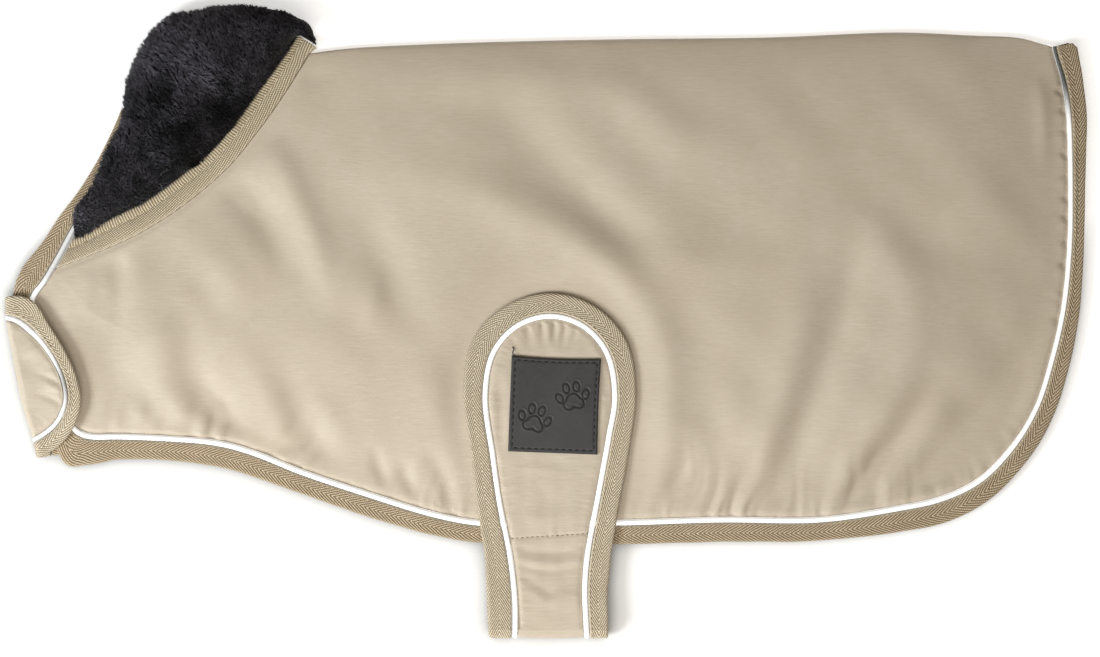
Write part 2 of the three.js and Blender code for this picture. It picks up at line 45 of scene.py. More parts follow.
# ---- levels of the layers -------------------------------------------------------------------
PIPING = 1.5                       # radius of the piping
GAP = 0.3                          # between sewn pieces
SEWN_IN = 0.15                     # between a side's or a strip's cloth and its piping
UPPER_Z = 3.1                      # underside of the upper side at its bound edge
CLOTH = 2.2                        # room for the cloth of a side
SHELL = 1.5                        # its own wall
DOME, DOME_REACH = 2.4, 70.0       # the upper side's lift away from its bound edges
DOME_GAP = 0.8                     # between its sewn edge and the start of that lift
LOFT, LOFT_REACH = 2.0, 55.0       # its further rise as loose cloth
STRIP_LOW, STRIP_TOP = 1.6, 7.6    # middle surfaces of a folded strip's two layers
STRIP_ROOM = 1.6                   # room for its tape outside that surface
STRIP_FACE, STRIP_BACK = 1.0, -0.4  # faces of its cloth from that surface
STRIP_PRESS = 1.0                  # how far it presses down the cloth beneath
FOLD = (STRIP_TOP - STRIP_LOW) / 2  # radius of the half turn in which it folds
FOLD_OUTER = FOLD + STRIP_ROOM
FOLD_QUARTER = FOLD * np.pi / 2    # its length round a quarter of a turn
UPPER_PIPING, LOWER_PIPING = 5.0, 1.51  # levels of the middle of each side's piping
STRIP_PIPING = 0.08                # height of its middle above a strip's middle surface
BACK_SEAM, SEAM_HALF = 2.95, 0.15  # level between the sides at the back, and half their gap
UPPER_ROLL, LOWER_ROLL = 60.0, 5.0  # width in which each side rolls down or up to that seam

# ---- lines ------------------------------------------------------------------------------------
# Piping line of the upper side, from the tail down the rear, along the hem and up the chest.
# Columns: x, y, width of the tape outside the line.
LEFT_EDGE = [
    (280.7, 151.6, 10.6), (281.3, 148.4, 12.4), (283.2, 142.0, 11.8), (285.8, 133.0, 10.8),
    (288.6, 115.0, 10.2),
    (289.8, 77.6, 8.1), (289.3, 41.3, 7.9), (286.0, 7.7, 8.8), (280.0, -19.3, 10.1),
    (271.2, -46.8, 10.4), (258.5, -68.0, 11.0), (240.0, -87.0, 11.8), (219.0, -97.3, 13.0),
    (193.0, -103.0, 12.8), (151.8, -108.9, 11.4), (96.8, -108.9, 12.2), (48.0, -110.4, 11.8),
    (3.3, -111.4, 11.2), (-36.3, -110.6, 11.0), (-60.0, -106.2, 11.2), (-102.9, -93.0, 11.6),
    (-133.1, -82.8, 11.2), (-161.7, -71.5, 12.4), (-181.0, -66.6, 12.8), (-208.5, -64.2, 11.9),
    (-236.0, -63.2, 12.8), (-246.0, -63.4, 14.8), (-251.3, -62.8, 16.6), (-253.6, -62.1, 18.9),
    (-255.8, -61.0, 18.0), (-258.4, -59.0, 14.4), (-263.5, -53.0, 12.6),
    (-270.5, -38.0, 10.2), (-275.6, -17.0, 9.6), (-280.0, 1.5, 9.8), (-281.6, 12.1, 10.8),
    (-279.6, 16.4, 13.0), (-275.6, 21.5, 14.4), (-266.8, 36.5, 12.0), (-258.3, 52.0, 10.4),
    (-247.2, 67.5, 10.0), (-238.2, 81.4, 10.4), (-231.2, 93.7, 10.8), (-222.6, 112.5, 11.0),
]
HEM_LAST, CHEST_FIRST = 24, 37     # rows where the lower side's hem ends and its chest starts
LOWER_INSET = 1.5                  # how far the lower side's lines are drawn in

# Neck tape. Columns: x, y of its lower edge, x, y of its upper edge, where the collar starts.
NECK_TAPE = [
    (-268.0, 29.7, -258.7, 46.2), (-251.9, 35.8, -253.0, 48.6), (-228.5, 45.9, -233.8, 59.4),
    (-212.9, 54.5, -219.5, 66.6), (-194.7, 67.1, -202.4, 78.7), (-172.9, 86.2, -182.3, 95.2),
    (-156.5, 106.4, -166.7, 114.1), (-143.9, 124.1, -154.0, 131.5),
    (-133.8, 140.4, -142.2, 147.4), (-129.2, 148.0, -137.6, 154.6), (-125.4, 151.2, -135.3, 157.9),
]
NAPE_AT = 0.975                    # share of the tape's length where it meets the back
LOWER_FIRST = 0.07                 # share where the lower half's tape starts
NECK_OVERLAP = 0.25                # between the cloth of a side and the tape over its seam
BACK = [
    (-106.7, 150.7), (-51.7, 153.5), (36.3, 155.7), (124.3, 156.8), (195.8, 159.5),
    (234.3, 157.9), (262.0, 156.4), (275.2, 152.9),
]

# Collar sections. Columns: share of the neck tape's length, x and y of the outer edge, fullness.
COLLAR_UPPER = [
    (0.01, -257.7, 53.9, 0.35), (0.05, -257.7, 60.5, 0.45), (0.10, -254.1, 67.7, 0.55),
    (0.16, -249.2, 74.0, 0.62), (0.22, -245.3, 82.0, 0.70), (0.28, -242.6, 90.8, 0.78),
    (0.34, -238.7, 100.1, 0.86), (0.40, -233.8, 107.8, 0.92), (0.45, -231.8, 117.2, 0.97),
    (0.50, -231.6, 126.0, 1.00), (0.55, -229.4, 135.3, 1.00), (0.61, -225.0, 146.3, 1.00),
    (0.67, -218.6, 160.2, 1.00), (0.73, -208.8, 169.4, 1.00), (0.79, -192.5, 171.6, 0.98),
    (0.85, -177.1, 174.4, 0.94), (0.90, -161.2, 174.1, 0.88), (0.94, -146.9, 171.4, 0.78),
    (0.965, -137.0, 168.4, 0.68), (0.985, -128.6, 163.8, 0.60), (1.0, -124.9, 152.0, 0.56),
]
COLLAR_LOWER = [
    (0.12, -243.5, 65.0, 0.35), (0.22, -234.0, 79.0, 0.55), (0.32, -226.5, 92.5, 0.70),
    (0.40, -217.8, 104.5, 0.85), (0.45, -222.5, 118.5, 0.97), (0.50, -229.0, 126.5, 1.00),
    (0.55, -227.6, 134.8, 1.00), (0.61, -223.4, 145.6, 1.00), (0.67, -216.4, 157.3, 1.00),
    (0.73, -206.4, 166.2, 1.00), (0.79, -192.0, 170.0, 0.98), (0.85, -177.0, 172.6, 0.94),
    (0.90, -161.6, 172.3, 0.88), (0.94, -147.8, 170.2, 0.78), (0.98, -133.5, 163.5, 0.60),
]
# Across a collar half: share from the tape outward, height of the face between the halves, and
# height of the upper face above it, as shares of the full thicknesses.
COLLAR_ACROSS = [
    (0.0, 0.27, 0.30), (0.1, 0.45, 0.72), (0.3, 0.85, 0.98), (0.55, 1.0, 1.0),
    (0.8, 0.85, 0.80), (0.94, 0.62, 0.45), (1.0, 0.45, 0.12),
]
FAR_COLLAR, NEAR_COLLAR = 10.0, 14.0    # those thicknesses, of the lower and the upper half
COLLAR_REACH = 0.985               # share of the outline where most of the pile ends
OVER_CHEST_TAPE = 0.47             # share of the neck tape's length that the chest's tape reaches
CHEST_TAPE_ROOM = 3.5              # how far it lifts the near half there

# Chest flap. Columns: distance from its fold (minus is the layer beneath), distance along the
# fold, width of the tape.
FLAP_EDGE = [
    (-8.6, 31.0, 11.0), (-2.0, 31.0, 11.0), (5.4, 28.8, 12.4), (12.5, 19.1, 10.0),
    (20.2, 3.6, 8.2), (23.3, -9.3, 8.0), (22.3, -20.9, 8.8), (14.7, -31.6, 9.8),
    (3.0, -37.6, 10.2), (-8.6, -39.0, 9.8),
]
FLAP_FOLD = (-288.3, -27.5, 0.188)  # middle of the fold line, and its slant
FLAP_BOW, FLAP_LIFT = 3.1, 2.4     # how far its fold bows out, and its free edge stands up
FLAP_CORD = 1.3                    # radius of its piping

# Belly strap. Columns: x, distance from its fold, width of the tape.
STRAP_FOLD_Y = -174.1
STRAP_HEAD = (3.3, 138.0, 35.7, 39.4, 12.8)   # middle, half width, height, tape
STRAP_CORNER, STRAP_SAG = 2.0, 0.5  # how far the fold's corners turn up, and its middle sags
STRAP_LEFT = [
    (-18.0, -52.8, 13.6), (-17.0, -25.0, 15.0), (-16.0, 0.0, 14.6), (-16.0, 22.0, 14.8),
    (-18.7, 45.5, 14.0), (-24.7, 76.3, 12.2), (-28.2, 101.0, 11.4), (-32.3, 134.0, 11.8),
]
STRAP_RIGHT = [
    (38.9, 134.0, 11.6), (35.4, 110.0, 12.4), (29.8, 79.0, 12.2), (24.0, 47.0, 13.2),
    (22.4, 27.0, 12.8), (23.4, 0.0, 11.8), (22.5, -25.0, 12.0), (21.5, -52.8, 12.2),
]
# Leather patch: its size, its middle on the strap as x and distance from the fold, its turn.
PATCH = dict(width=49.0, height=52.5, thickness=1.4, x=5.8, s=128.6, turn=-0.038)
PATCH_HALF = np.array([PATCH["width"], PATCH["height"]]) / 2
PATCH_TOP = STRIP_FACE + GAP + PATCH["thickness"]

# Soft folds of the upper side. Each is a list of rows: x, y, half width, height (minus is a
# trough). The height eases to nothing at the ends.
FOLDS = [
    # above the belly strap
    [(-120, 84, 14, 0), (-84, 83, 14, 1.0), (-40, 74, 14, 1.9), (-6, 59, 13, 2.6),
     (20, 44, 12, 3.1), (42, 26, 11, 2.4), (56, 0, 10, 0.8), (60, -30, 9, 0)],
    [(-92, 124, 14, 0), (-54, 120, 14, -1.0), (-24, 112, 15, -2.0), (-6, 95, 15, -2.6),
     (13, 77, 14, -2.8), (35, 58, 12, -2.0), (54, 44, 11, -0.8), (68, 36, 10, 0)],
    [(-112, 134, 12, 0), (-70, 133, 12, 0.7), (-22, 136, 12, 1.5), (20, 134, 13, 2.1),
     (48, 125, 14, 2.3), (68, 109, 14, 1.8), (100, 97, 14, 1.0), (128, 90, 12, 0)],
    [(44, 44, 9, 0), (66, 37, 10, 0.8), (92, 32, 10, 0.9), (118, 24, 9, 0)],
    [(70, 78, 12, 0), (98, 58, 13, -1.1), (122, 43, 11, -0.7), (142, 34, 10, 0)],
    # shoulder
    [(-158, 100, 9, 0), (-147, 90, 9, 1.4), (-137, 70, 9, 2.4), (-126, 44, 9, 2.4),
     (-119, 22, 9, 1.2), (-114, 4, 9, 0)],
    [(-186, 84, 9, 0), (-171, 74, 10, -1.8), (-157, 59, 10, -2.5), (-147, 41, 9, -1.8),
     (-138, 20, 9, 0)],
    [(-114, 80, 12, 0), (-98, 58, 14, -1.8), (-88, 38, 14, -2.2), (-80, 14, 12, -1.9),
     (-72, -10, 10, 0)],
    [(-90, 30, 5, 0), (-93, 12, 6, 0.9), (-98, -6, 6, 0)],
    [(-208, 62, 10, 0), (-190, 44, 11, 0.9), (-172, 26, 10, 1.2), (-156, 6, 9, 0)],
    [(-196, 34, 8, 0), (-184, 14, 8, -0.8), (-176, -8, 8, 0)],
    # chest
    [(-236, 44, 6, 0), (-234, 30, 6, -1.9), (-234, 8, 6, -1.4), (-236, -14, 6, 0)],
    [(-251, 34, 5, 0), (-251, 18, 6, 1.2), (-250, -2, 6, 0)],
    [(-225, 42, 8, 0), (-222, 22, 9, 0.9), (-222, -6, 9, 0)],
    [(-256, 26, 6, 0), (-247, 10, 11, -2.0), (-239, -10, 14, -2.4), (-236, -32, 14, -2.0),
     (-240, -54, 9, 0)],
    [(-216, 14, 9, 0), (-208, -10, 10, 0.5), (-204, -28, 8, 0)],
    # nape
    [(-146, 146, 5, 0), (-134, 137, 5, -2.4), (-124, 136, 6, -1.3), (-112, 138, 7, 0)],
    # beside the strap
    [(-43, -10, 5, 0), (-41, -40, 5, -1.2), (-40, -76, 5, -1.4), (-39, -104, 5, -0.4)],
    [(53, -38, 7, 0), (51, -60, 7, -1.1), (49, -86, 7, -1.0), (48, -106, 6, -0.3)],
    # hem in front of the strap
    [(-198, 14, 9, 0), (-194, -6, 10, -1.5), (-191, -28, 10, -2.4), (-181, -44, 9, -3.0),
     (-171, -57, 7, -2.0), (-166, -66, 6, 0)],
    [(-182, 2, 9, 0), (-165, -18, 10, 1.0), (-151, -40, 10, 1.9), (-144, -58, 9, 1.8),
     (-140, -70, 6, 0)],
    [(-148, -24, 9, 0), (-134, -46, 11, -1.4), (-125, -62, 10, -1.9), (-117, -78, 7, 0)],
    [(-134, -34, 9, 0), (-118, -56, 9, 1.0), (-106, -76, 7, 0)],
    [(-225, -38, 6, 0), (-221, -53, 5, 1.4), (-218, -64, 4, 0.4)],
    [(-214, 8, 9, 0), (-212, -12, 9, 0.8), (-209, -34, 9, 1.3), (-198, -50, 8, 1.5),
     (-190, -62, 6, 0.8), (-187, -68, 5, 0)],
    [(-104, -24, 11, 0), (-84, -50, 11, -0.8), (-76, -80, 8, 0)],
    [(-66, -16, 10, 0), (-56, -48, 10, 0.9), (-52, -80, 8, 0)],
    [(-66, -66, 7, 0), (-55, -85, 6, -2.0), (-52, -98, 5, -1.2), (-51, -106, 4, 0)],
    [(-94, -66, 4, 0), (-90, -82, 4, -1.4), (-87, -94, 3, -0.3)],
    [(-78, -74, 4, 0), (-75, -88, 4, -1.5), (-72, -98, 3, -0.3)],
    # hem behind the strap
    [(60, 14, 8, 0), (66, -14, 9, 1.0), (68, -50, 9, 1.2), (64, -84, 7, 0.7), (62, -100, 5, 0)],
    [(68, 20, 10, 0), (80, 0, 12, -0.6), (88, -28, 12, -1.3), (94, -62, 10, -1.0), (88, -94, 6, 0)],
    [(84, -60, 6, 0), (77, -80, 6, -1.0), (70, -98, 4, -0.6), (68, -106, 4, 0)],
    [(126, 44, 10, 0), (141, 24, 11, 1.0), (139, -4, 12, 2.0), (131, -38, 11, 2.5),
     (120, -74, 9, 1.9), (111, -100, 6, 0.6), (109, -107, 5, 0)],
    [(178, 56, 10, 0), (170, 34, 10, -1.6), (163, 2, 11, -2.5), (150, -38, 11, -2.8),
     (136, -76, 9, -2.0), (126, -102, 5, 0)],
    [(176, 66, 10, 0), (192, 38, 12, 1.1), (202, 4, 12, 1.4), (198, -28, 12, 1.9),
     (184, -56, 10, 2.6), (166, -82, 8, 2.3), (157, -96, 6, 1.4), (153, -106, 5, 0.2)],
    [(216, -20, 10, 0), (202, -52, 9, -1.7), (183, -80, 8, -2.6), (173, -96, 6, -2.0),
     (168, -106, 5, -0.4)],
    [(226, -42, 8, 0), (206, -68, 7, 2.0), (190, -87, 6, 2.0), (181, -100, 4, 0.4)],
    [(240, -60, 9, 0), (222, -80, 8, -2.3), (207, -92, 6, -2.2), (198, -102, 4, -0.4)],
    [(98, -78, 14, 0), (132, -83, 17, -1.0), (180, -80, 19, -1.4), (220, -66, 19, -2.4),
     (248, -45, 17, -3.0), (266, -10, 13, -0.8), (270, 10, 10, 0)],
    # rear
    [(182, 86, 16, 0), (204, 64, 15, -1.1), (221, 42, 14, -1.6), (240, 16, 13, -1.0),
     (252, -8, 10, 0)],
    [(212, 102, 14, 0), (236, 80, 14, 1.0), (256, 60, 12, 0.9), (270, 40, 9, 0)],
    [(108, 150, 16, 0), (150, 128, 18, -0.9), (182, 96, 18, -0.9), (204, 60, 14, 0)],
    [(271, 136, 4, 0), (274, 122, 5, 0.9), (275, 100, 5, 0.7), (275, 82, 5, 0)],
]
# Dents beside the rear piping where its stitches pull. Columns: y, depth.
REAR_DENTS = [
    (127.0, 1.7), (116.6, 1.2), (105.0, 0.7), (92.4, 1.1), (80.0, 0.6), (68.2, 0.9),
    (57.8, 1.0), (44.0, 0.8), (31.9, 1.1), (17.0, 0.6), (1.7, 0.8),
]
# Small puckers along the bound edge. Columns: row of LEFT_EDGE, height, reach inward.
PUCKERS = [
    (0, 0.35, 5), (5, 0.30, 5), (8, 0.20, 6), (10, 0.25, 7), (12, 0.55, 12), (13, 0.95, 18),
    (14, 1.00, 20), (15, 1.05, 22), (16, 0.85, 18), (17, 0.40, 10), (18, 0.85, 18),
    (19, 0.90, 20), (20, 0.45, 12), (21, 0.80, 18), (22, 0.45, 12), (23, 0.80, 13),
    (25, 0.85, 14), (29, 0.30, 8), (36, 0.25, 6), (43, 0.20, 5),
]


# ---- lines and fields -------------------------------------------------------------------------
def smooth_line(rows, parts=40):
    """Centripetal Catmull-Rom line: each stretch between rows is a cubic whose slopes come from
    the spacing's square roots, so that it neither loops nor overshoots."""
    p = np.asarray(rows, float)
    p = np.vstack([2 * p[0] - p[1], p, 2 * p[-1] - p[-2]])
    gap = np.sqrt(np.linalg.norm(np.diff(p, axis=0), axis=1))[:, None]
    a, b, c, d = p[:-3], p[1:-2], p[2:-1], p[3:]
    g0, g1, g2 = gap[:-2], gap[1:-1], gap[2:]
    start = ((b - a) / g0 - (c - a) / (g0 + g1) + (c - b) / g1) * g1
    end = ((c - b) / g1 - (d - b) / (g1 + g2) + (d - c) / g2) * g1
    t = np.linspace(0, 1, parts, endpoint=False)[None, :, None]
    square, cube = -3 * b + 3 * c - 2 * start - end, 2 * b - 2 * c + start + end
    points = b[:, None] + start[:, None] * t + square[:, None] * t**2 + cube[:, None] * t**3
    return np.vstack([points.reshape(-1, p.shape[1]), p[-2]])


def unit(ways):
    """Directions at length 1."""
    return ways / np.linalg.norm(ways, axis=1)[:, None]


def run_length(points):
    """Distance along a chain of points, from its start."""
    return np.concatenate([[0], np.cumsum(np.linalg.norm(np.diff(points, axis=0), axis=1))])


def at_shares(points, shares):
    """Points at shares of a chain's length."""
    length = run_length(points)
    return np.stack([np.interp(shares, length / length[-1], column) for column in points.T], 1)


def stations(rows, count):
    """Evenly spaced stations on a smooth line: points, the way outward and the tape's width."""
    line = at_shares(smooth_line(rows), np.linspace(0, 1, count))
    along = unit(np.gradient(line[:, :2], axis=0))
    return line[:, :2], np.stack([-along[:, 1], along[:, 0]], 1), line[:, 2]


def turned(points, angle):
    """Points of a plane on axes that are turned by an angle."""
    c, s = np.cos(angle), np.sin(angle)
    return points @ np.array([[c, -s], [s, c]])


def ease(x, low, high):
    """0 below low, 1 above high, and a smooth step between."""
    t = np.clip((x - low) / (high - low), 0, 1)
    return t * t * (3 - 2 * t)


def bell(x, width):
    """1 at 0, falling to nothing on both sides: exp(-(x / width)^2)."""
    return np.exp(-((x / width) ** 2))


def ripple(x, y, size, seed):
    """Seeded unevenness between about -1 and 1: plane waves of about that size, summed."""
    waves = 11
    rng = np.random.default_rng(seed)
    turn, phase = rng.uniform(0, 2 * np.pi, (2, waves))
    pace = 2 * np.pi / (size * rng.uniform(0.65, 1.5, waves))
    total = sum(
        np.sin(k * (x * np.cos(a) + y * np.sin(a)) + b) for a, b, k in zip(turn, phase, pace))
    return total / np.sqrt(waves / 2) * 0.6


def waver(x, size, seed):
    """Seeded unevenness along one way only."""
    return ripple(x, 0 * x, size, seed)


def nearest(points, chain):
    """Distance from each point to a chain, and how far along it the nearest place is."""
    start = run_length(chain)
    best = np.full(len(points), np.inf)
    place = np.zeros(len(points))
    for a, b, s in zip(chain[:-1], chain[1:], start):
        side = b - a
        size = max(np.hypot(*side), 1e-9)
        t = np.clip((points - a) @ side / size**2, 0, 1)
        away = np.hypot(*(points - a - t[:, None] * side).T)
        closer = away < best
        best[closer], place[closer] = away[closer], s + t[closer] * size
    return best, place


def inset(rows, distance):
    """Rows of a line moved inward, with one more between each two."""
    at, out, width = stations(rows, 2 * len(rows) - 1)
    return np.column_stack([at - out * distance, width])


def cord_radius(at):
    """Radius of the edge piping that shows: less down the rear, least at the tail, and a little
    less up the chest."""
    x, y = at.T
    rear, chest = ease(x, 250, 272), ease(-x, 200, 260) * ease(y, 10, 28)
    return PIPING - rear * (0.32 + 0.36 * ease(y, 118, 146)) - 0.12 * chest


LEFT_LINE = stations(LEFT_EDGE, 1300)
left_at, left_out, _ = LEFT_LINE
LEFT_CORD = cord_radius(left_at)
LEFT_RIM = left_at - left_out * (LEFT_CORD + SEWN_IN)[:, None]
DOME_RIM = (left_at - left_out * (PIPING + DOME_GAP))[::8]
NECK_LOWER, NECK_UPPER = np.split(smooth_line(NECK_TAPE), 2, axis=1)


def neck_at(share):
    """Lower and upper edge of the neck tape at shares of its length, and the way across it."""
    lower, upper = at_shares(NECK_LOWER, share), at_shares(NECK_UPPER, share)
    return lower, upper, unit(upper - lower)


def below_neck(first, count, gap):
    """Line a gap below the neck tape, from a share of its length to the nape."""
    lower, _, up = neck_at(np.linspace(first, NAPE_AT, count))
    return lower - up * gap


NECK_RIM = below_neck(0, 160, NECK_OVERLAP)
DOME_NECK = below_neck(0, 160, DOME_GAP)[::6]
BACK_LINE = smooth_line([tuple(NECK_RIM[-1])] + BACK)


def dome(points):
    """Lift of the upper side: none on its bound edges, DOME well away from them."""
    away = np.minimum(nearest(points, DOME_RIM)[0], nearest(points, DOME_NECK)[0])
    return DOME * ease(away, 0, DOME_REACH)


# ---- strips that fold over the edge -----------------------------------------------------------
def flap_plan(inward, along):
    """Point of the plan from the chest flap's own axes, which slant with its bowed fold."""
    x, y, slant = FLAP_FOLD
    size = np.hypot(1, slant)
    bow = FLAP_BOW * ease(along, -46, -12) * (1 - 0.8 * ease(along, 27, 44))
    inward = inward - bow * (1 - ease(inward, 2, 16))
    return np.stack([x + (inward - slant * along) / size, y + (slant * inward + along) / size], -1)


def strap_plan(inward, across):
    """Point of the plan from the belly strap's own axes. Its fold turns up a little at both
    corners and sags between them."""
    off = np.abs(across - STRAP_HEAD[0])
    bend = STRAP_CORNER * ease(off, 31, 42) - STRAP_SAG * (1 - ease(off, 4, 26))
    return np.stack([across, STRAP_FOLD_Y + inward + bend * (1 - ease(inward, 0, 9))], -1)


def folded(s, across, h, plan):
    """Place on a strip folded back on itself: s runs along it from the middle of the fold, h is
    the height above the middle surface. The strip follows half a turn of radius FOLD, and its
    upper layer rides on the dome."""
    turn = np.clip(s / FOLD, -np.pi / 2, np.pi / 2)
    run = np.maximum(0, np.abs(s) - FOLD_QUARTER)
    flat = plan(FOLD_OUTER + run - (FOLD + h) * np.cos(turn), across)
    level = STRIP_LOW + FOLD + (FOLD + h) * np.sin(turn)
    lift = np.maximum(0, dome(flat.reshape(-1, 2)) - STRIP_PRESS).reshape(level.shape)
    return np.dstack([flat, level + np.where(s > FOLD_QUARTER, lift, 0)])


def on_flap(s, t, h):
    """Place on the chest flap, whose free edge stands up a little."""
    place = folded(s, t, h, flap_plan)
    place[..., 2] += FLAP_LIFT * ease(s, 6, 30)
    return place


def on_strap(x, s, h):
    """Place on the belly strap: x across it, s from its fold."""
    return folded(s, x, h, strap_plan)


def laid(x, y, z):
    """Place on a part that lies flat, which is the point itself."""
    return np.dstack([x, y, z])


HEAD_X, HEAD_S, HEAD_HALF, HEAD_HEIGHT, HEAD_TAPE = STRAP_HEAD
STRAP_EDGE = STRAP_LEFT + [
    (HEAD_X + HEAD_HALF * np.cos(a), HEAD_S + HEAD_HEIGHT * np.sin(a), HEAD_TAPE)
    for a in np.radians([150, 120, 90, 60, 30])
] + STRAP_RIGHT
STRAP_LINE, FLAP_LINE = stations(STRAP_EDGE, 1001), stations(FLAP_EDGE, 301)


# ---- meshes -----------------------------------------------------------------------------------
def grid_faces(n, m, wrap=False):
    """Quads of a grid of n rows of m points. With wrap each row's last point joins its first."""
    i, j = np.arange(n - 1)[:, None], np.arange(m if wrap else m - 1)[None, :]
    k = (j + 1) % m
    here, over = i * m, (i + 1) * m
    quads = np.broadcast_arrays(here + j, over + j, over + k, here + k)
    return np.stack(quads, -1).reshape(-1, 4)


def signed_volume(points, quads):
    """Six times the volume inside quads, minus if they face inward."""
    p = points - points.mean(0)
    a, b, c, d = (p[quads[:, k]] for k in range(4))
    return (a * (np.cross(b, c) + np.cross(c, d))).sum()


def piece(name, points, faces, material, uv=None, values=None):
    """Mesh object from points in millimetres, with a UV map in metres and named point values."""
    mesh = bpy.data.meshes.new(name)
    mesh.from_pydata((np.asarray(points) * MM).tolist(), [], faces)
    mesh.shade_smooth()
    loops = np.empty(len(mesh.loops), np.int32)
    mesh.loops.foreach_get("vertex_index", loops)
    if uv is not None:
        layer = mesh.uv_layers.new(name="UVMap")
        layer.data.foreach_set("uv", (np.asarray(uv) * MM)[loops].ravel().astype(np.float32))
    for key, value in (values or {}).items():
        attribute = mesh.attributes.new(key, "FLOAT", "POINT")
        attribute.data.foreach_set("value", np.asarray(value, np.float32).ravel())
    mesh.materials.append(material)
    made = bpy.data.objects.new(name, mesh)
    bpy.context.collection.objects.link(made)
    return made


def wall(name, outer, inner, material, values=None):
    """Closed wall between two grids of points, joined by a strip round their border. A point's
    values hold on both faces."""
    n, m = outer.shape[:2]
    ids = np.arange(n * m).reshape(n, m)
    ring = np.concatenate([ids[:, 0], ids[-1, 1:], ids[-2::-1, -1], ids[0, -2:0:-1]])
    after = np.roll(ring, -1)
    top = grid_faces(n, m)
    quads = np.vstack([
        top, top[:, ::-1] + n * m, np.stack([after, ring, ring + n * m, after + n * m], 1)])
    points = np.vstack([outer.reshape(-1, 3), inner.reshape(-1, 3)])
    if signed_volume(points, quads) < 0:
        quads = quads[:, ::-1]
    values = {key: np.tile(value, 2) for key, value in (values or {}).items()}
    return piece(name, points, quads.tolist(), material, None, values)


def swept(name, sections, material, uv=None, values=None):
    """Closed solid through rings of points, with a face across each end."""
    n, m = sections.shape[:2]
    quads = grid_faces(n, m, wrap=True)
    points = sections.reshape(-1, 3)
    ends = [list(range(m)), list(range((n - 1) * m, n * m))[::-1]]
    if signed_volume(points, quads) < 0:
        quads, ends = quads[:, ::-1], [end[::-1] for end in ends]
    return piece(name, points, quads.tolist() + ends, material, uv, values)


# ---- shader groups and finishes ---------------------------------------------------------------
def feed(tree, sockets, values):
    """Values or links given to sockets, by number or by name. An underscore in a name stands
    for a space."""
    for key, value in values.items():
        socket = sockets[key.replace("_", " ") if isinstance(key, str) else key]
        if isinstance(value, bpy.types.NodeSocket):
            tree.links.new(value, socket)
        else:
            socket.default_value = value


def put(tree, kind, values=(), **settings):
    """A node with its settings, and with values or links for its sockets, by key or in order."""
    made = tree.nodes.new(kind)
    for key, value in settings.items():
        setattr(made, key, value)
    feed(tree, made.inputs, values if isinstance(values, dict) else dict(enumerate(values)))
    return made


def calc(tree, operation, *values):
    """One step of arithmetic on values or links."""
    return put(tree, "ShaderNodeMath", values, operation=operation).outputs[0]


def between(tree, value, low, high, to_low=0.0, to_high=1.0):
    """Value carried from one range to another, and held at its ends."""
    return put(tree, "ShaderNodeMapRange", [value, low, high, to_low, to_high]).outputs[0]


def blend_colour(tree, factor, a, b):
    """Colour a where the factor is 0 and b where it is 1."""
    values = {0: factor, 6: a, 7: b}
    return put(tree, "ShaderNodeMix", values, data_type="RGBA").outputs[2]


def group(name, inputs, outputs):
    """Empty shader group with named sockets, and the sockets of its first and last node."""
    made = bpy.data.node_groups.new(name, "ShaderNodeTree")
    for kind, sockets in (("INPUT", inputs), ("OUTPUT", outputs)):
        for socket, form in sockets.items():
            made.interface.new_socket(socket, in_out=kind, socket_type="NodeSocket" + form)
    return made, made.nodes.new("NodeGroupInput").outputs, made.nodes.new("NodeGroupOutput").inputs


def noise(tree, vector, scale, detail=2.0):
    """Soft noise between 0 and 1. A bigger scale makes it finer."""
    values = {"Vector": vector, "Scale": scale, "Detail": detail}
    return put(tree, "ShaderNodeTexNoise", values).outputs[0]


def mottle_group():
    """Cloudy unevenness of colour: two sizes of noise, set between two limits."""
    tree, given, out = group("mottle", {"Vector": "Vector", "Scale": "Float", "Fine": "Float"},
                             {"Factor": "Float"})
    big = noise(tree, given["Vector"], given["Scale"], 3.0)
    fine = noise(tree, given["Vector"], given["Fine"])
    both = calc(tree, "ADD", calc(tree, "MULTIPLY", big, 0.65), calc(tree, "MULTIPLY", fine, 0.35))
    feed(tree, out, {"Factor": between(tree, both, 0.36, 0.64)})
    return tree


def weave_group():
    """Plain weave: threads along x and y as crossed waves, uneven as spun yarn is, with slubs
    drawn out along x. Threads is their number to the metre."""
    tree, given, out = group("plain_weave", {"Vector": "Vector", "Threads": "Float"},
                             {"Height": "Float", "Slub": "Float"})
    axes = put(tree, "ShaderNodeSeparateXYZ", [given["Vector"]]).outputs
    pace = calc(tree, "MULTIPLY", given["Threads"], 2 * np.pi)
    warp = calc(tree, "SINE", calc(tree, "MULTIPLY", axes[0], pace))
    weft = calc(tree, "SINE", calc(tree, "MULTIPLY", axes[1], pace))
    drawn = put(tree, "ShaderNodeVectorMath", [given["Vector"], (130.0, 1150.0, 400.0)],
                operation="MULTIPLY").outputs[0]
    slub = noise(tree, drawn, 1.0)
    crossed = calc(tree, "MULTIPLY", calc(tree, "MULTIPLY", warp, weft), 0.35)
    feed(tree, out, {"Height": calc(tree, "ADD", crossed, slub), "Slub": slub})
    return tree


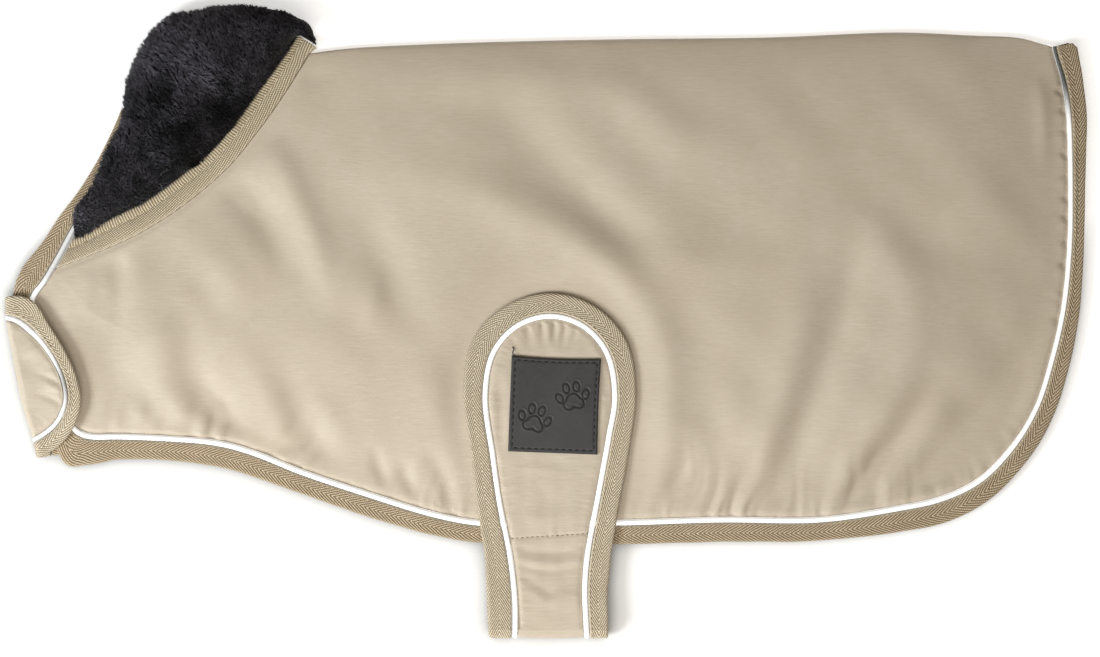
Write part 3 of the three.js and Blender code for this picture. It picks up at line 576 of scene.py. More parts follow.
def herringbone_group():
    """Herringbone tape: u runs along it and v is the distance from its spine. Ribs a spacing
    apart slant away from the spine on both sides, and beads of yarn run along each rib. Its second
    output is painted light: paler on the raised ribs and beads, painted shade between them."""
    tree, given, out = group(
        "herringbone", {"UV": "Vector", "Spacing": "Float", "Slant in": "Float",
                        "Slant out": "Float", "Bead": "Float"},
        {"Height": "Float", "Light": "Float"})
    axes = put(tree, "ShaderNodeSeparateXYZ", [given["UV"]]).outputs
    away = calc(tree, "ABSOLUTE", axes[1])
    outer = calc(tree, "GREATER_THAN", axes[1], 0.0)
    slants = {0: outer, 2: given["Slant in"], 3: given["Slant out"]}
    slant = put(tree, "ShaderNodeMix", slants).outputs[0]
    drift = noise(tree, given["UV"], 260.0, 1.0)
    run = calc(tree, "ADD", axes[0], calc(tree, "MULTIPLY", away, slant))
    reach = calc(tree, "SQRT", calc(tree, "ADD", calc(tree, "MULTIPLY", slant, slant), 1.0))
    across = calc(tree, "DIVIDE", run, calc(tree, "MULTIPLY", reach, given["Spacing"]))
    turns = calc(tree, "ADD", across, calc(tree, "MULTIPLY", drift, 0.5))
    rib = calc(tree, "COSINE", calc(tree, "MULTIPLY", turns, 2 * np.pi))
    yarn = calc(tree, "SUBTRACT", axes[0], calc(tree, "MULTIPLY", away, 0.9))
    beads = calc(tree, "MULTIPLY", calc(tree, "DIVIDE", yarn, given["Bead"]), 2 * np.pi)
    raised = between(tree, rib, -0.7, 0.9)
    beaded = calc(tree, "MULTIPLY", raised, calc(tree, "COSINE", beads))
    height = calc(tree, "ADD", calc(tree, "MULTIPLY", raised, 0.68),
                  calc(tree, "MULTIPLY", beaded, 0.32))
    spine = between(tree, away, 0.0, 0.0005, 0.55, 1.0)
    # the second output is painted light on the ribs and painted shade between them
    feed(tree, out, {"Height": calc(tree, "MULTIPLY", height, spine),
                     "Light": between(tree, height, -0.05, 0.72)})
    return tree


MOTTLE, WEAVE, HERRINGBONE = mottle_group(), weave_group(), herringbone_group()


def use(tree, shared, **values):
    """A shared group placed in a material with its own values."""
    return put(tree, "ShaderNodeGroup", values, node_tree=shared).outputs


def finish(name, **sockets):
    """Material with a Principled shader whose plain values are set on its own sockets."""
    made = bpy.data.materials.new(name)
    made.use_nodes = True
    tree = made.node_tree
    shader = tree.nodes["Principled BSDF"]
    feed(tree, shader.inputs, sockets)
    place = tree.nodes.new("ShaderNodeTexCoord").outputs["Object"]
    return made, tree, shader.inputs, place


def bump(tree, height, distance, strength):
    """Normal of a surface that stands up by a height times a distance in metres."""
    values = {"Height": height, "Distance": distance, "Strength": strength}
    return put(tree, "ShaderNodeBump", values).outputs[0]


def value_of(tree, name):
    """A mesh's own point value."""
    return put(tree, "ShaderNodeAttribute", attribute_name=name).outputs["Fac"]


def rgb(red, green, blue):
    """Linear colour from the usual 0 to 255 values."""
    share = np.array([red, green, blue]) / 255
    return (*np.where(share < 0.04045, share / 12.92, ((share + 0.055) / 1.055) ** 2.4), 1.0)


BLACK, WHITE = (0.0, 0.0, 0.0, 1.0), (1.0, 1.0, 1.0, 1.0)


def shell_finish():
    """Satin showerproof cloth: fine weave, drawn-out slubs and a soft sheen."""
    made, tree, shader, place = finish("satin_shell", Sheen_Weight=0.12, Sheen_Roughness=0.4,
                                       Specular_IOR_Level=0.42)
    cloud = use(tree, MOTTLE, Vector=place, Scale=9.0, Fine=60.0)["Factor"]
    weave = use(tree, WEAVE, Vector=place, Threads=1450.0)
    tone = blend_colour(tree, cloud, rgb(203, 189, 169), rgb(210, 197, 179))
    slub = between(tree, weave["Slub"], 0.3, 0.7, 0.0, 0.35)
    feed(tree, shader, {
        "Base Color": blend_colour(tree, slub, tone, rgb(189, 174, 150)),
        "Roughness": between(tree, weave["Slub"], 0.3, 0.7, 0.40, 0.52),
        "Normal": bump(tree, weave["Height"], 0.00016, 0.55),
    })
    return made


def tape_finish(name, light, dark, spacing, slant_in=1.75, slant_out=1.75):
    """Cotton herringbone tape, with a paler selvedge along its sewn edge, and painted light on its
    raised ribs with painted shade between them.
    """
    made, tree, shader, place = finish(name, Roughness=0.88, Sheen_Weight=0.15,
                                       Specular_IOR_Level=0.2)
    along = put(tree, "ShaderNodeUVMap", uv_map="UVMap").outputs[0]
    ribs = use(tree, HERRINGBONE, UV=along, Spacing=spacing, Slant_in=slant_in,
               Slant_out=slant_out, Bead=0.0013)
    cloud = use(tree, MOTTLE, Vector=place, Scale=40.0, Fine=420.0)["Factor"]
    # colour follows the ribs' painted light: pale on the raised ribs, painted shade between them
    tone = blend_colour(tree, ribs["Light"], rgb(*dark), rgb(*light))
    worn = blend_colour(tree, calc(tree, "MULTIPLY", cloud, 0.16), tone, rgb(*dark))
    selvedge = between(tree, value_of(tree, "across"), 0.03, 0.11, 0.55, 0.0)
    feed(tree, shader, {
        "Base Color": blend_colour(tree, selvedge, worn, rgb(226, 213, 190)),
        "Normal": bump(tree, ribs["Height"], 0.00045, 0.9),
    })
    return made


def piping_finish():
    """White piping: a painted glow for the light it throws back, and grey painted shade where that
    is least, as over the tail.
    """
    made, tree, shader, place = finish("piping_painted_glow", Roughness=0.42, Specular_IOR_Level=0.5,
                                       Emission_Strength=0.5)
    painted_light = value_of(tree, "painted_light")
    cloud = use(tree, MOTTLE, Vector=place, Scale=120.0, Fine=700.0)
    feed(tree, shader, {
        # Base colour and glow follow the painted light value: white and glowing on the crown, grey
        # painted shade where it is low.
        "Base Color": blend_colour(tree, painted_light, rgb(80, 84, 82), rgb(250, 250, 250)),
        "Emission Color": blend_colour(tree, painted_light, BLACK, WHITE),
        "Normal": bump(tree, cloud["Factor"], 0.00012, 0.5),
    })
    return made


def plush_finish(name, deep, painted_highlight):
    """Black plush: the tone value puts painted shade at the fibres' roots and a painted highlight on
    their tips.
    """
    made, tree, shader, place = finish(name, Roughness=0.6, Sheen_Weight=0.08,
                                       Sheen_Roughness=0.4, Specular_IOR_Level=0.22)
    cloud = use(tree, MOTTLE, Vector=place, Scale=55.0, Fine=300.0)["Factor"]
    patchy = between(tree, cloud, 0.0, 1.0, 0.6, 1.15)
    tone = calc(tree, "MULTIPLY", value_of(tree, "tone"), patchy)
    feed(tree, shader, {"Base Color": blend_colour(tree, tone, rgb(*deep), rgb(*painted_highlight))})
    return made


def leather_finish():
    """Smooth leather with a fine pebbled grain."""
    made, tree, shader, place = finish("patch_leather", Specular_IOR_Level=0.35)
    cells = put(tree, "ShaderNodeTexVoronoi", {"Vector": place, "Scale": 1500.0})
    cloud = use(tree, MOTTLE, Vector=place, Scale=70.0, Fine=500.0)["Factor"]
    tone = blend_colour(tree, cloud, rgb(59, 58, 59), rgb(68, 67, 68))
    feed(tree, shader, {
        "Base Color": blend_colour(tree, value_of(tree, "pressed"), tone, rgb(24, 23, 25)),
        "Roughness": between(tree, cloud, 0.0, 1.0, 0.48, 0.6),
        "Normal": bump(tree, cells.outputs["Distance"], 0.00006, 0.35),
    })
    return made


def thread_finish(name, tone):
    """Sewing thread: a fine twist along its length."""
    made, tree, shader, place = finish(name, Roughness=0.55)
    twist = noise(tree, place, 2200.0)
    shaded = rgb(*(0.8 * np.array(tone)))
    feed(tree, shader, {
        "Base Color": blend_colour(tree, between(tree, twist, 0.35, 0.65), rgb(*tone), shaded),
        "Normal": bump(tree, twist, 0.0001, 0.6),
    })
    return made


def floor_finish():
    """Pale floor, which glows more the farther it is from the lights and the coat, so that it
    stays as pale there. Along the hem it gets a painted contact shadow where the coat is close."""
    made, tree, shader, place = finish("pale_floor", Roughness=0.9, Emission_Strength=1.0)
    cloud = use(tree, MOTTLE, Vector=place, Scale=3.0, Fine=30.0)["Factor"]
    axes = put(tree, "ShaderNodeSeparateXYZ", [place]).outputs
    far = calc(tree, "ADD", calc(tree, "MULTIPLY", axes[0], 0.6), axes[1])
    from_coat = put(tree, "ShaderNodeVectorMath", [place], operation="LENGTH").outputs["Value"]
    glow = calc(tree, "MAXIMUM", between(tree, far, -0.20, 0.10, 0.03, 0.55),
                between(tree, from_coat, 0.45, 0.9, 0.0, 0.75))
    # painted shadow: the floor darkens where ambient occlusion finds the coat close, only along the
    # hem
    painted_contact_shadow = put(tree, "ShaderNodeAmbientOcclusion", {"Distance": 0.022}, samples=8).outputs["AO"]
    painted_light = calc(tree, "MAXIMUM", between(tree, painted_contact_shadow, 0.4, 0.95, 0.42, 1.0),
               between(tree, axes[1], -0.03, 0.06))
    pale = blend_colour(tree, cloud, (0.97, 0.97, 0.97, 1.0), (0.99, 0.99, 0.99, 1.0))
    feed(tree, shader, {
        "Base Color": blend_colour(tree, painted_light, BLACK, pale),
        "Emission Color": blend_colour(tree, calc(tree, "MULTIPLY", glow, painted_light), BLACK, WHITE),
    })
    return made


SATIN = shell_finish()
# The same tape in two copies: on the bound edges its darker colours are painted shade, on the strap
# and flap its paler ones are painted light.
HEM_TAPE_PAINTED_SHADE = tape_finish("hem_tape", (240, 221, 190), (120, 99, 72), 0.00125)
STRAP_TAPE_PAINTED_LIGHT = tape_finish("strap_tape", (255, 246, 224), (146, 124, 93), 0.00108)
NECK_TAPE_FINISH = tape_finish("neck_tape", (255, 243, 216), (134, 113, 82), 0.00145, 0.6, 3.8)
PIPING_PAINTED_GLOW = piping_finish()
PLUSH_SKIN = plush_finish("plush_skin", (9, 9, 10), (20, 20, 22))
# the pile's pale colour is the painted highlight on its tips
PLUSH_PILE = plush_finish("plush_pile", (6, 6, 7), (138, 133, 144))
LEATHER = leather_finish()
DARK_THREAD = thread_finish("dark_thread", (21, 20, 22))
SHELL_THREAD = thread_finish("shell_thread", (146, 131, 106))
EDGE_THREAD = thread_finish("edge_thread", (214, 198, 170))


# ---- tapes, piping and stitches ---------------------------------------------------------------
# Folded tape from its sewn edge outward and back under. Columns: share across, share of height.
roll = np.radians(np.linspace(90, -90, 9))
TAPE_ROUND = np.vstack([
    [(0.0, 0.62), (0.03, 0.86), (0.09, 0.97), (0.2, 1.0), (0.34, 0.98), (0.5, 0.95), (0.66, 0.97),
     (0.8, 1.0)],
    np.stack([0.88 + 0.12 * np.cos(roll), 0.5 + 0.5 * np.sin(roll)], 1),
    [(0.6, 0.0), (0.3, 0.0), (0.0, 0.0)],
])


def uv_along(run, across):
    """UV of sections: how far along the line they are, and how far round each its points are."""
    return np.stack(np.broadcast_arrays(run[:, None], across), -1).reshape(-1, 2)


TAPE_THICK = 2.6
TAPE_SPINE = 0.55                  # share of its width where its ribs turn


def tape(name, line, bottom, material, place=laid, cord=PIPING):
    """Folded tape: the profile carried along a line, from beside the piping to the tape's
    width. Its outer edge wavers a little, and its top sags unevenly."""
    at, out, width = line
    run = run_length(at)
    start = cord + GAP + 0 * run
    wide = width * (1 + 0.012 * waver(run, 38, 5)) - start
    share, high = TAPE_ROUND.T
    reach = start[:, None] + wide[:, None] * share
    across = at[:, None] + out[:, None] * reach[..., None]
    sag = 0.12 * (1 + waver(run, 24, 9))[:, None] * high
    level = bottom + high * TAPE_THICK - sag
    sections = place(across[..., 0], across[..., 1], level)
    sections[..., 2] = np.maximum(sections[..., 2], 0)
    girth = np.cumsum(np.linalg.norm(np.diff(sections, axis=1), axis=2), axis=1)
    girth = np.hstack([np.zeros((len(at), 1)), girth]) - TAPE_SPINE * wide[:, None]
    values = {"across": np.tile(share, len(at))}
    return swept(name, sections, material, uv_along(run, girth), values)


PIPING_SIDES, PIPING_PITCH = 12, 2.7    # the pitch is between the stitches that hold it


def piping(name, line, middle, place=laid, cord=PIPING, painted_light=1.0):
    """Round piping along a line, a little uneven between its stitches. Its painted glow is
    strongest on its crown, and its sides get painted shade."""
    at, out, _ = line
    run = run_length(at)
    angle = np.linspace(0, 2 * np.pi, PIPING_SIDES, endpoint=False)
    radius = (cord * (0.985 + 0.02 * np.sin(2 * np.pi * run / PIPING_PITCH)))[:, None]
    across = at[:, None] + out[:, None] * (radius * np.cos(angle))[..., None]
    sections = place(across[..., 0], across[..., 1], middle + radius * np.sin(angle))
    # painted shade on the sides, painted glow strongest on the crown
    crown = 0.58 + 0.42 * np.abs(np.sin(angle)) ** 1.2
    light = (painted_light + 0 * run)[:, None] * crown
    return swept(name, sections, PIPING_PAINTED_GLOW, uv_along(run, angle * PIPING), {"painted_light": light})


# One stitch, along x and full in the middle. Columns: share of the length, of the radius.
STITCH = np.array([(-0.5, 0.3), (-0.32, 0.95), (0.32, 0.95), (0.5, 0.3)])
STITCH_SIDES = 6
EDGE_STITCH = dict(length=1.9, radius=0.24, pitch=2.9, out=2.75)    # out from the piping's middle


def stitches(name, before, after, length, radius, material):
    """Stitches as short rounded bars. Each lies on the middle of two places that it points
    along."""
    along = unit(after - before)
    side = unit(np.cross([0.0, 0.0, 1.0], along))
    up = np.cross(along, side)
    angle = np.arange(STITCH_SIDES) * 2 * np.pi / STITCH_SIDES
    ring = STITCH[:, 1, None] * radius
    body = (along[:, None, None] * (STITCH[:, 0] * length)[None, :, None, None]
            + side[:, None, None] * (ring * np.cos(angle))[None, ..., None]
            + up[:, None, None] * (ring * np.sin(angle))[None, ..., None]
            + ((before + after) / 2)[:, None, None])
    quads = grid_faces(len(STITCH), STITCH_SIDES, wrap=True)
    last = len(STITCH) * STITCH_SIDES
    ends = np.array([np.arange(STITCH_SIDES), last - 1 - np.arange(STITCH_SIDES)])
    if signed_volume(body[0].reshape(-1, 3), quads) < 0:
        quads, ends = quads[:, ::-1], ends[:, ::-1]
    shift = (np.arange(len(body)) * last)[:, None, None]
    faces = (quads + shift).reshape(-1, 4).tolist()
    faces += (ends + shift).reshape(-1, STITCH_SIDES).tolist()
    return piece(name, body.reshape(-1, 3), faces, material)


def at_level(place, points, level):
    """Places of points of a strip's or a side's plane, all at one height over it."""
    return place(points[:, :1], points[:, 1:], np.full((len(points), 1), level))[:, 0]


def stitch_row(name, line, level, place):
    """A row of stitches along the tape beside a piping line."""
    at, out, _ = line
    run = run_length(at)
    row = at + out * EDGE_STITCH["out"]
    pitch, radius = EDGE_STITCH["pitch"], EDGE_STITCH["radius"]
    spots = np.arange(pitch, run[-1] - pitch, pitch)
    ends = []
    for shift in (-0.3, 0.3):
        points = np.stack([np.interp(spots + shift, run, column) for column in row.T], 1)
        end = at_level(place, points, level)
        end[:, 2] = np.maximum(end[:, 2], radius)
        ends.append(end)
    return stitches(name, *ends, EDGE_STITCH["length"], radius, EDGE_THREAD)


# ---- the two sides ----------------------------------------------------------------------------
def inside(points, outline):
    """Whether points lie inside a closed outline: a line from them towards +X crosses it an odd
    number of times."""
    found = np.zeros(len(points), bool)
    for a, b in zip(outline, np.roll(outline, -1, 0)):
        spans = (a[1] > points[:, 1]) != (b[1] > points[:, 1])
        cut = a[0] + (points[:, 1] - a[1]) * (b[0] - a[0]) / (b[1] - a[1] + 1e-12)
        found ^= spans & (points[:, 0] < cut)
    return found


def outline_of(line, plan, first_s, along):
    """Plan of a strip's outer edge on its upper layer, from first_s past its fold. Along is the
    column of the line that holds that distance."""
    at, out, width = line
    edge = at + out * width[:, None]
    s, across = edge[:, along], edge[:, 1 - along]
    kept = s > first_s
    run = np.maximum(0, s[kept] - FOLD_QUARTER)
    return plan(FOLD_OUTER + run, across[kept])[::6]


STRIP_OUTLINES = [outline_of(STRAP_LINE, strap_plan, 0, 1), outline_of(FLAP_LINE, flap_plan, -8, 0)]
STRIP_SOFT = 12.0                  # how far round a strip the cloth beneath is pressed


def under_strips(points):
    """1 beneath the belly strap and the chest flap, fading out round them."""
    covered = np.zeros(len(points))
    for outline in STRIP_OUTLINES:
        away, _ = nearest(points, np.vstack([outline, outline[:1]]))
        beside = np.where(inside(points, outline), 1, bell(away, STRIP_SOFT))
        covered = np.maximum(covered, beside)
    return covered


EDGE_ROWS_AT = nearest(np.array(LEFT_EDGE)[:, :2], LEFT_RIM[::4])[1]


def fold_height(points, folds):
    """Ridges and troughs: each is a bell across its line, its height from its table."""
    total = np.zeros(len(points))
    for rows in folds:
        line = smooth_line(rows, 8)
        reach = 3 * line[:, 2].max()
        low, high = line[:, :2].min(0) - reach, line[:, :2].max(0) + reach
        close = np.all((points > low) & (points < high), axis=1)
        away, place = nearest(points[close], line[:, :2])
        run = run_length(line[:, :2])
        width, height = (np.interp(place, run, line[:, k]) for k in (2, 3))
        total[close] += height * bell(away, width)
    return total


def pucker_height(points, away, place):
    """Puckers that start at the sewn edge and die out inward, uneven along it."""
    row, high, reach = np.array(PUCKERS).T
    at = EDGE_ROWS_AT[row.astype(int)]
    high, reach = np.interp(place, at, high), np.interp(place, at, reach)
    lean = place + 0.30 * away + 2.5 * ripple(*points.T, 40, 3)
    wave = waver(lean, 10.5, 11) + 0.4 * waver(lean, 5.2, 12)
    gain = 0.45 + 0.55 * np.clip(0.5 + waver(place, 70, 13), 0, 1.4)
    soft = wave * np.exp(-((away / reach) ** 1.4)) * ease(away, -1.5, 2.5)
    sharp = (1 - np.minimum(np.abs(waver(lean, 11, 14)) / 0.4, 1)) ** 2
    sharp *= bell(away, 0.35 * reach) * ease(away, -1.2, 0.8)
    return high * gain * (soft - 1.5 * sharp)


def back_roll(points, height, width, base):
    """Height brought down to the back seam in a quarter of an ellipse of that width."""
    away, _ = nearest(points, BACK_LINE)
    t = np.clip(1 - away / width, 0, 1)
    return base + (height - base) * np.sqrt(1 - t**2)


REAR_FROM = 262.0                  # x past which the dents lie
SEAM_SINK = 0.9                    # how far the cloth sinks where it is sewn
LOWEST = 3.9                       # the deepest trough eases to this level


def upper_height(points):
    """Outer height of the upper side's cloth: the dome and its loft, with folds, puckers and
    dents, pressed under the strips, sunk at the seams and rolled down to the back."""
    rim, place = nearest(points, LEFT_RIM[::4])
    neck, _ = nearest(points, NECK_RIM[::3])
    covered = under_strips(points)
    sewn = np.minimum(rim, neck)
    raised = fold_height(points, FOLDS) + 0.35 * ripple(*points.T, 46, 21)
    raised += LOFT * ease(sewn, 0, LOFT_REACH)
    raised = np.where(raised > 0, raised * (1 - covered), raised * (1 - 0.6 * covered))
    height = UPPER_Z + CLOTH + dome(points) + raised * ease(sewn, 0, 14)
    height += pucker_height(points, rim, place) * (1 - covered)
    rear = bell(rim, 3.4) * (points[:, 0] > REAR_FROM)
    for y, depth in REAR_DENTS:
        height -= 1.5 * depth * rear * bell(points[:, 1] - y, 1.9)
    height -= SEAM_SINK * (bell(rim, 1.8) + bell(neck, 2.2))
    height = LOWEST + 0.3 * np.logaddexp(0, (height - LOWEST) / 0.3)
    return back_roll(points, height, UPPER_ROLL, BACK_SEAM + SEAM_HALF)


# Stretches of a side's grid. Each has a share of the columns, and they run from a span of the
# hem to a span of the neck or the back.
STRETCHES = [
    (0.25, (0.0, 0.32), "neck", (0.0, 1.0)), (0.44, (0.32, 0.735), "back", (0.0, 0.885)),
    (0.31, (0.735, 1.0), "back", (0.885, 0.998)),
]


def side_plan(hem, neck, columns, rows):
    """Plan of a side: columns from its hem to its neck and back, closer rows at both ends."""
    low, high = [], []
    tops = {"neck": neck, "back": BACK_LINE}
    for part, span, top, reach in STRETCHES:
        share = np.linspace(0, 1, int(columns * part) + 1)[1 if low else 0:]
        low.append(at_shares(hem, span[0] + (span[1] - span[0]) * share))
        high.append(at_shares(tops[top], reach[0] + (reach[1] - reach[0]) * share))
    low, high = np.vstack(low)[:, None], np.vstack(high)[:, None]
    t = np.linspace(0, 1, rows)
    t = (0.6 * t + 0.4 * (0.5 - 0.5 * np.cos(np.pi * t)))[None, :, None]
    return low + (high - low) * t


def beside_tape(chain):
    """The stretch of a rim, from the chest on, that starts where the neck tape meets it."""
    return chain[np.argmin(np.hypot(*(chain - NECK_RIM[0]).T)) + 1:]


def side_cloth(name, plan, above, below, skip):
    """A side's cloth as rings: over its outer face, then back along its inner face, where only
    one row in so many is kept."""
    upper, lower = (np.dstack([plan, level.reshape(plan.shape[:2])]) for level in (above, below))
    kept = np.append(np.arange(0, plan.shape[1] - 1, skip), plan.shape[1] - 1)
    return swept(name, np.concatenate([upper, lower[:, kept[::-1]]], 1), SATIN)


def left_side():
    """Upper side: its inner face keeps clear of the back seam, and its wall is never thin."""
    thinnest = 0.6
    plan = side_plan(beside_tape(LEFT_RIM[::-1]), NECK_RIM, columns=560, rows=136)
    outer = upper_height(plan.reshape(-1, 2))
    inner = np.maximum(outer - SHELL, BACK_SEAM + SEAM_HALF)
    inner = np.minimum(inner, outer - thinnest)
    return side_cloth("left_side_cloth", plan, outer, inner, skip=4)


# The lower side's hem runs on to the chest flap's seam, and its chest starts past it.
FLAP_UNDER = 8.6                   # length of the flap beneath its fold
flap_seam = FOLD_OUTER + FLAP_UNDER - FOLD_QUARTER + GAP
seam_rows = [(*flap_plan(np.array(flap_seam + past), np.array(along)), 9.8)
             for past, along in ((12, -38.6), (5, -39.0), (0, -39.0))]
RIGHT_HEM = stations(np.vstack([inset(LEFT_EDGE[:HEM_LAST + 1], LOWER_INSET), seam_rows]), 900)
RIGHT_CHEST = stations(inset(LEFT_EDGE[CHEST_FIRST:], LOWER_INSET), 160)


LOWER_SHELL, LOWER_TOP = 1.4, 2.6  # its wall, and the level that it stays below


def right_side():
    """Lower side: it lies on the floor but for a few soft creases."""
    chest, hem = ((at - out * (PIPING + SEWN_IN))[::-1] for at, out, _ in (RIGHT_CHEST, RIGHT_HEM))
    seam = flap_plan(np.array([flap_seam, flap_seam]), np.array([41.0, -37.0]))
    rim = np.vstack([beside_tape(chest), seam, hem[1:]])
    plan = side_plan(rim, below_neck(LOWER_FIRST, 100, NECK_OVERLAP), columns=150, rows=70)
    flat = plan.reshape(-1, 2)
    crease = np.clip(0.5 * ripple(*flat.T, 60, 31) + 0.1, 0, 0.6)
    crease *= ease(nearest(flat, rim[::6])[0], 4, 30)
    below = back_roll(flat, crease, LOWER_ROLL, BACK_SEAM - SEAM_HALF)
    above = np.clip(below + LOWER_SHELL, 0, LOWER_TOP)
    above = back_roll(flat, above, LOWER_ROLL, BACK_SEAM - SEAM_HALF + 0.05)
    return side_cloth("right_side_cloth", plan, np.maximum(above, below + 0.1), below, skip=1)


upper_side, lower_side = left_side(), right_side()


# ---- neck tape and collar ---------------------------------------------------------------------
# Across the neck tape, from its lower edge up. Columns: share across, share of height.
NECK_ROUND = np.array([
    (0.0, 0.05), (0.0, 0.5), (0.03, 0.76), (0.1, 0.93), (0.3, 1.02), (0.5, 0.92), (0.59, 0.72),
    (0.64, 0.48), (0.68, 0.62), (0.74, 1.02), (0.86, 1.2), (0.95, 1.08), (1.0, 0.8), (1.0, 0.0),
])
NECK_GROOVE = 0.64                 # share across where the groove lies


def neck_tape(name, first, bottom, thick):
    """Flat tape over the neck seam: a lower row, a groove and a raised upper lip."""
    lower, upper, _ = neck_at(np.linspace(first, 1, 420))
    share, high = NECK_ROUND.T
    across = lower[:, None] + (upper - lower)[:, None] * share[:, None]
    run = run_length(lower)
    lip = 1 + 0.05 * waver(run, 26, 41)[:, None]
    sections = np.dstack([across, bottom + high * thick * lip])
    uv = uv_along(run, (NECK_GROOVE - share) * np.linalg.norm(upper - lower, axis=1)[:, None])
    return swept(name, sections, NECK_TAPE_FINISH, uv, {"across": np.tile(share, len(run))})


def between_rows(rows, count):
    """Rows of a collar's table at even steps of a smooth line through them. The weights put
    its shares and its fullness on the scale of its millimetres."""
    weight = np.array([100.0, 1.0, 1.0, 10.0])
    return at_shares(smooth_line(np.array(rows) * weight, 12), np.linspace(0, 1, count)) / weight


def collar_rings(rows, upper, count=120, steps=24):
    """Rings round one half of the collar at the full reach of its pile: first its lower face
    from the tape outward, then its upper face back."""
    share, x, y, full = between_rows(rows, count).T
    _, start, up = neck_at(share)
    start = (start + up * GAP)[:, None]
    end = np.stack([x, y], 1)[:, None]
    across = np.linspace(0, 1, steps)
    weight = np.array([1.0, 0.4, 0.4])
    profile = smooth_line(np.array(COLLAR_ACROSS) * weight, 12) / weight
    face, crown = (np.interp(across, profile[:, 0], profile[:, k]) for k in (1, 2))
    full = full[:, None]
    at_tape = COLLAR_ACROSS[0][1]
    face = (face - at_tape) / (1 - at_tape)
    meeting = UPPER_Z - GAP + (FAR_COLLAR - UPPER_Z + GAP) * full * face
    plan = start + (end - start) * (across * COLLAR_REACH)[:, None]
    if upper:
        off_chest = ease(share, OVER_CHEST_TAPE - 0.03, OVER_CHEST_TAPE + 0.03)
        lowest = UPPER_Z + CHEST_TAPE_ROOM * (1 - off_chest)
        low = np.maximum(lowest[:, None], meeting + GAP + 1.0)
        high = low + 1 + crown * NEAR_COLLAR * full
    else:
        low, high = np.zeros_like(meeting), meeting
    return np.concatenate([np.dstack([plan, low]), np.dstack([plan, high])[:, ::-1]], 1)


def shrunk(rings, keep, narrow):
    """The cloth that the pile stands on: each ring drawn in towards the tape and its own middle
    height."""
    steps = rings.shape[1] // 2
    low, high = rings[:, :steps, 2], rings[:, steps:, 2][:, ::-1]
    centre = (low + high) / 2
    centre = np.concatenate([centre, centre[:, ::-1]], 1)
    made = rings[:, :1] + (rings - rings[:, :1]) * narrow
    made[..., 2] = centre + (rings[..., 2] - centre) * keep
    return made


def sample(grid, i, j):
    """Point of a grid at fractional places, its second way round closed."""
    n, m = grid.shape[:2]
    i = np.clip(i, 0, n - 1.001)
    a, b = i.astype(int), np.floor(j).astype(int)
    s, t = (i - a)[:, None], (j - b)[:, None]
    b, c = b % m, (b + 1) % m
    return ((grid[a, b] * (1 - t) + grid[a, c] * t) * (1 - s)
            + (grid[a + 1, b] * (1 - t) + grid[a + 1, c] * t) * s)


# Painted light and shade of the plush: painted highlights where the change is plus, painted shade
# where it is minus. Columns: x, y, radius, change of tone.
PLUSH_PAINTED_LIGHT = np.array([
    (-206, 158, 20, 0.30), (-221, 138, 10, 0.20), (-186, 128, 9, 0.34), (-161, 140, 9, 0.22),
    (-210, 115, 16, -0.26), (-226, 103, 7, 0.16), (-247, 60, 8, 0.34), (-190, 140, 9, 0.16),
    (-176, 160, 13, 0.16), (-238, 80, 10, -0.14), (-139, 160, 9, -0.14), (-192, 97, 13, -0.24),
    (-212, 88, 12, -0.14), (-199, 112, 5, 0.24), (-172, 117, 10, -0.18),
])
CLUMP = (1.7, 0.85)                # size of a clump, in steps of the collar's rings
SPIKE = 0.34                       # radius of a spike at its root
ROOT_PAINTED_SHADE = 0.12                   # share of its tone there: painted shade deep in the pile


def spikes(root, tip, twist):
    """Points and faces of slim closed spikes with three sides, each turned by its twist."""
    axis = unit(tip - root)
    first = unit(np.cross(axis, twist))
    second = np.cross(axis, first)
    angle = np.radians([0, 120, 240])[:, None]
    base = root[:, None] + SPIKE * (first[:, None] * np.cos(angle) + second[:, None] * np.sin(angle))
    base[..., 2] = np.maximum(base[..., 2], 0.05)
    sides = np.array([[0, 1, 3], [1, 2, 3], [2, 0, 3], [0, 2, 1]])
    faces = (sides + (np.arange(len(root)) * 4)[:, None, None]).reshape(-1, 3)
    return np.concatenate([base, tip[:, None]], 1).reshape(-1, 3), faces.tolist()


def plush_tone(x, y, shade, outward, seed):
    """Tone of the pile: its clump's tone, which differs at random, painted shade near the tape that
    pales away from it, and painted highlights and shade at listed places."""
    tone = 0.06 + 0.34 * shade + 0.13 * ripple(x, y, 14, seed) + 0.20 * ease(outward, 0.15, 0.5)
    for at_x, at_y, radius, change in PLUSH_PAINTED_LIGHT:
        tone += change * bell(np.hypot(x - at_x, y - at_y), radius)
    return tone


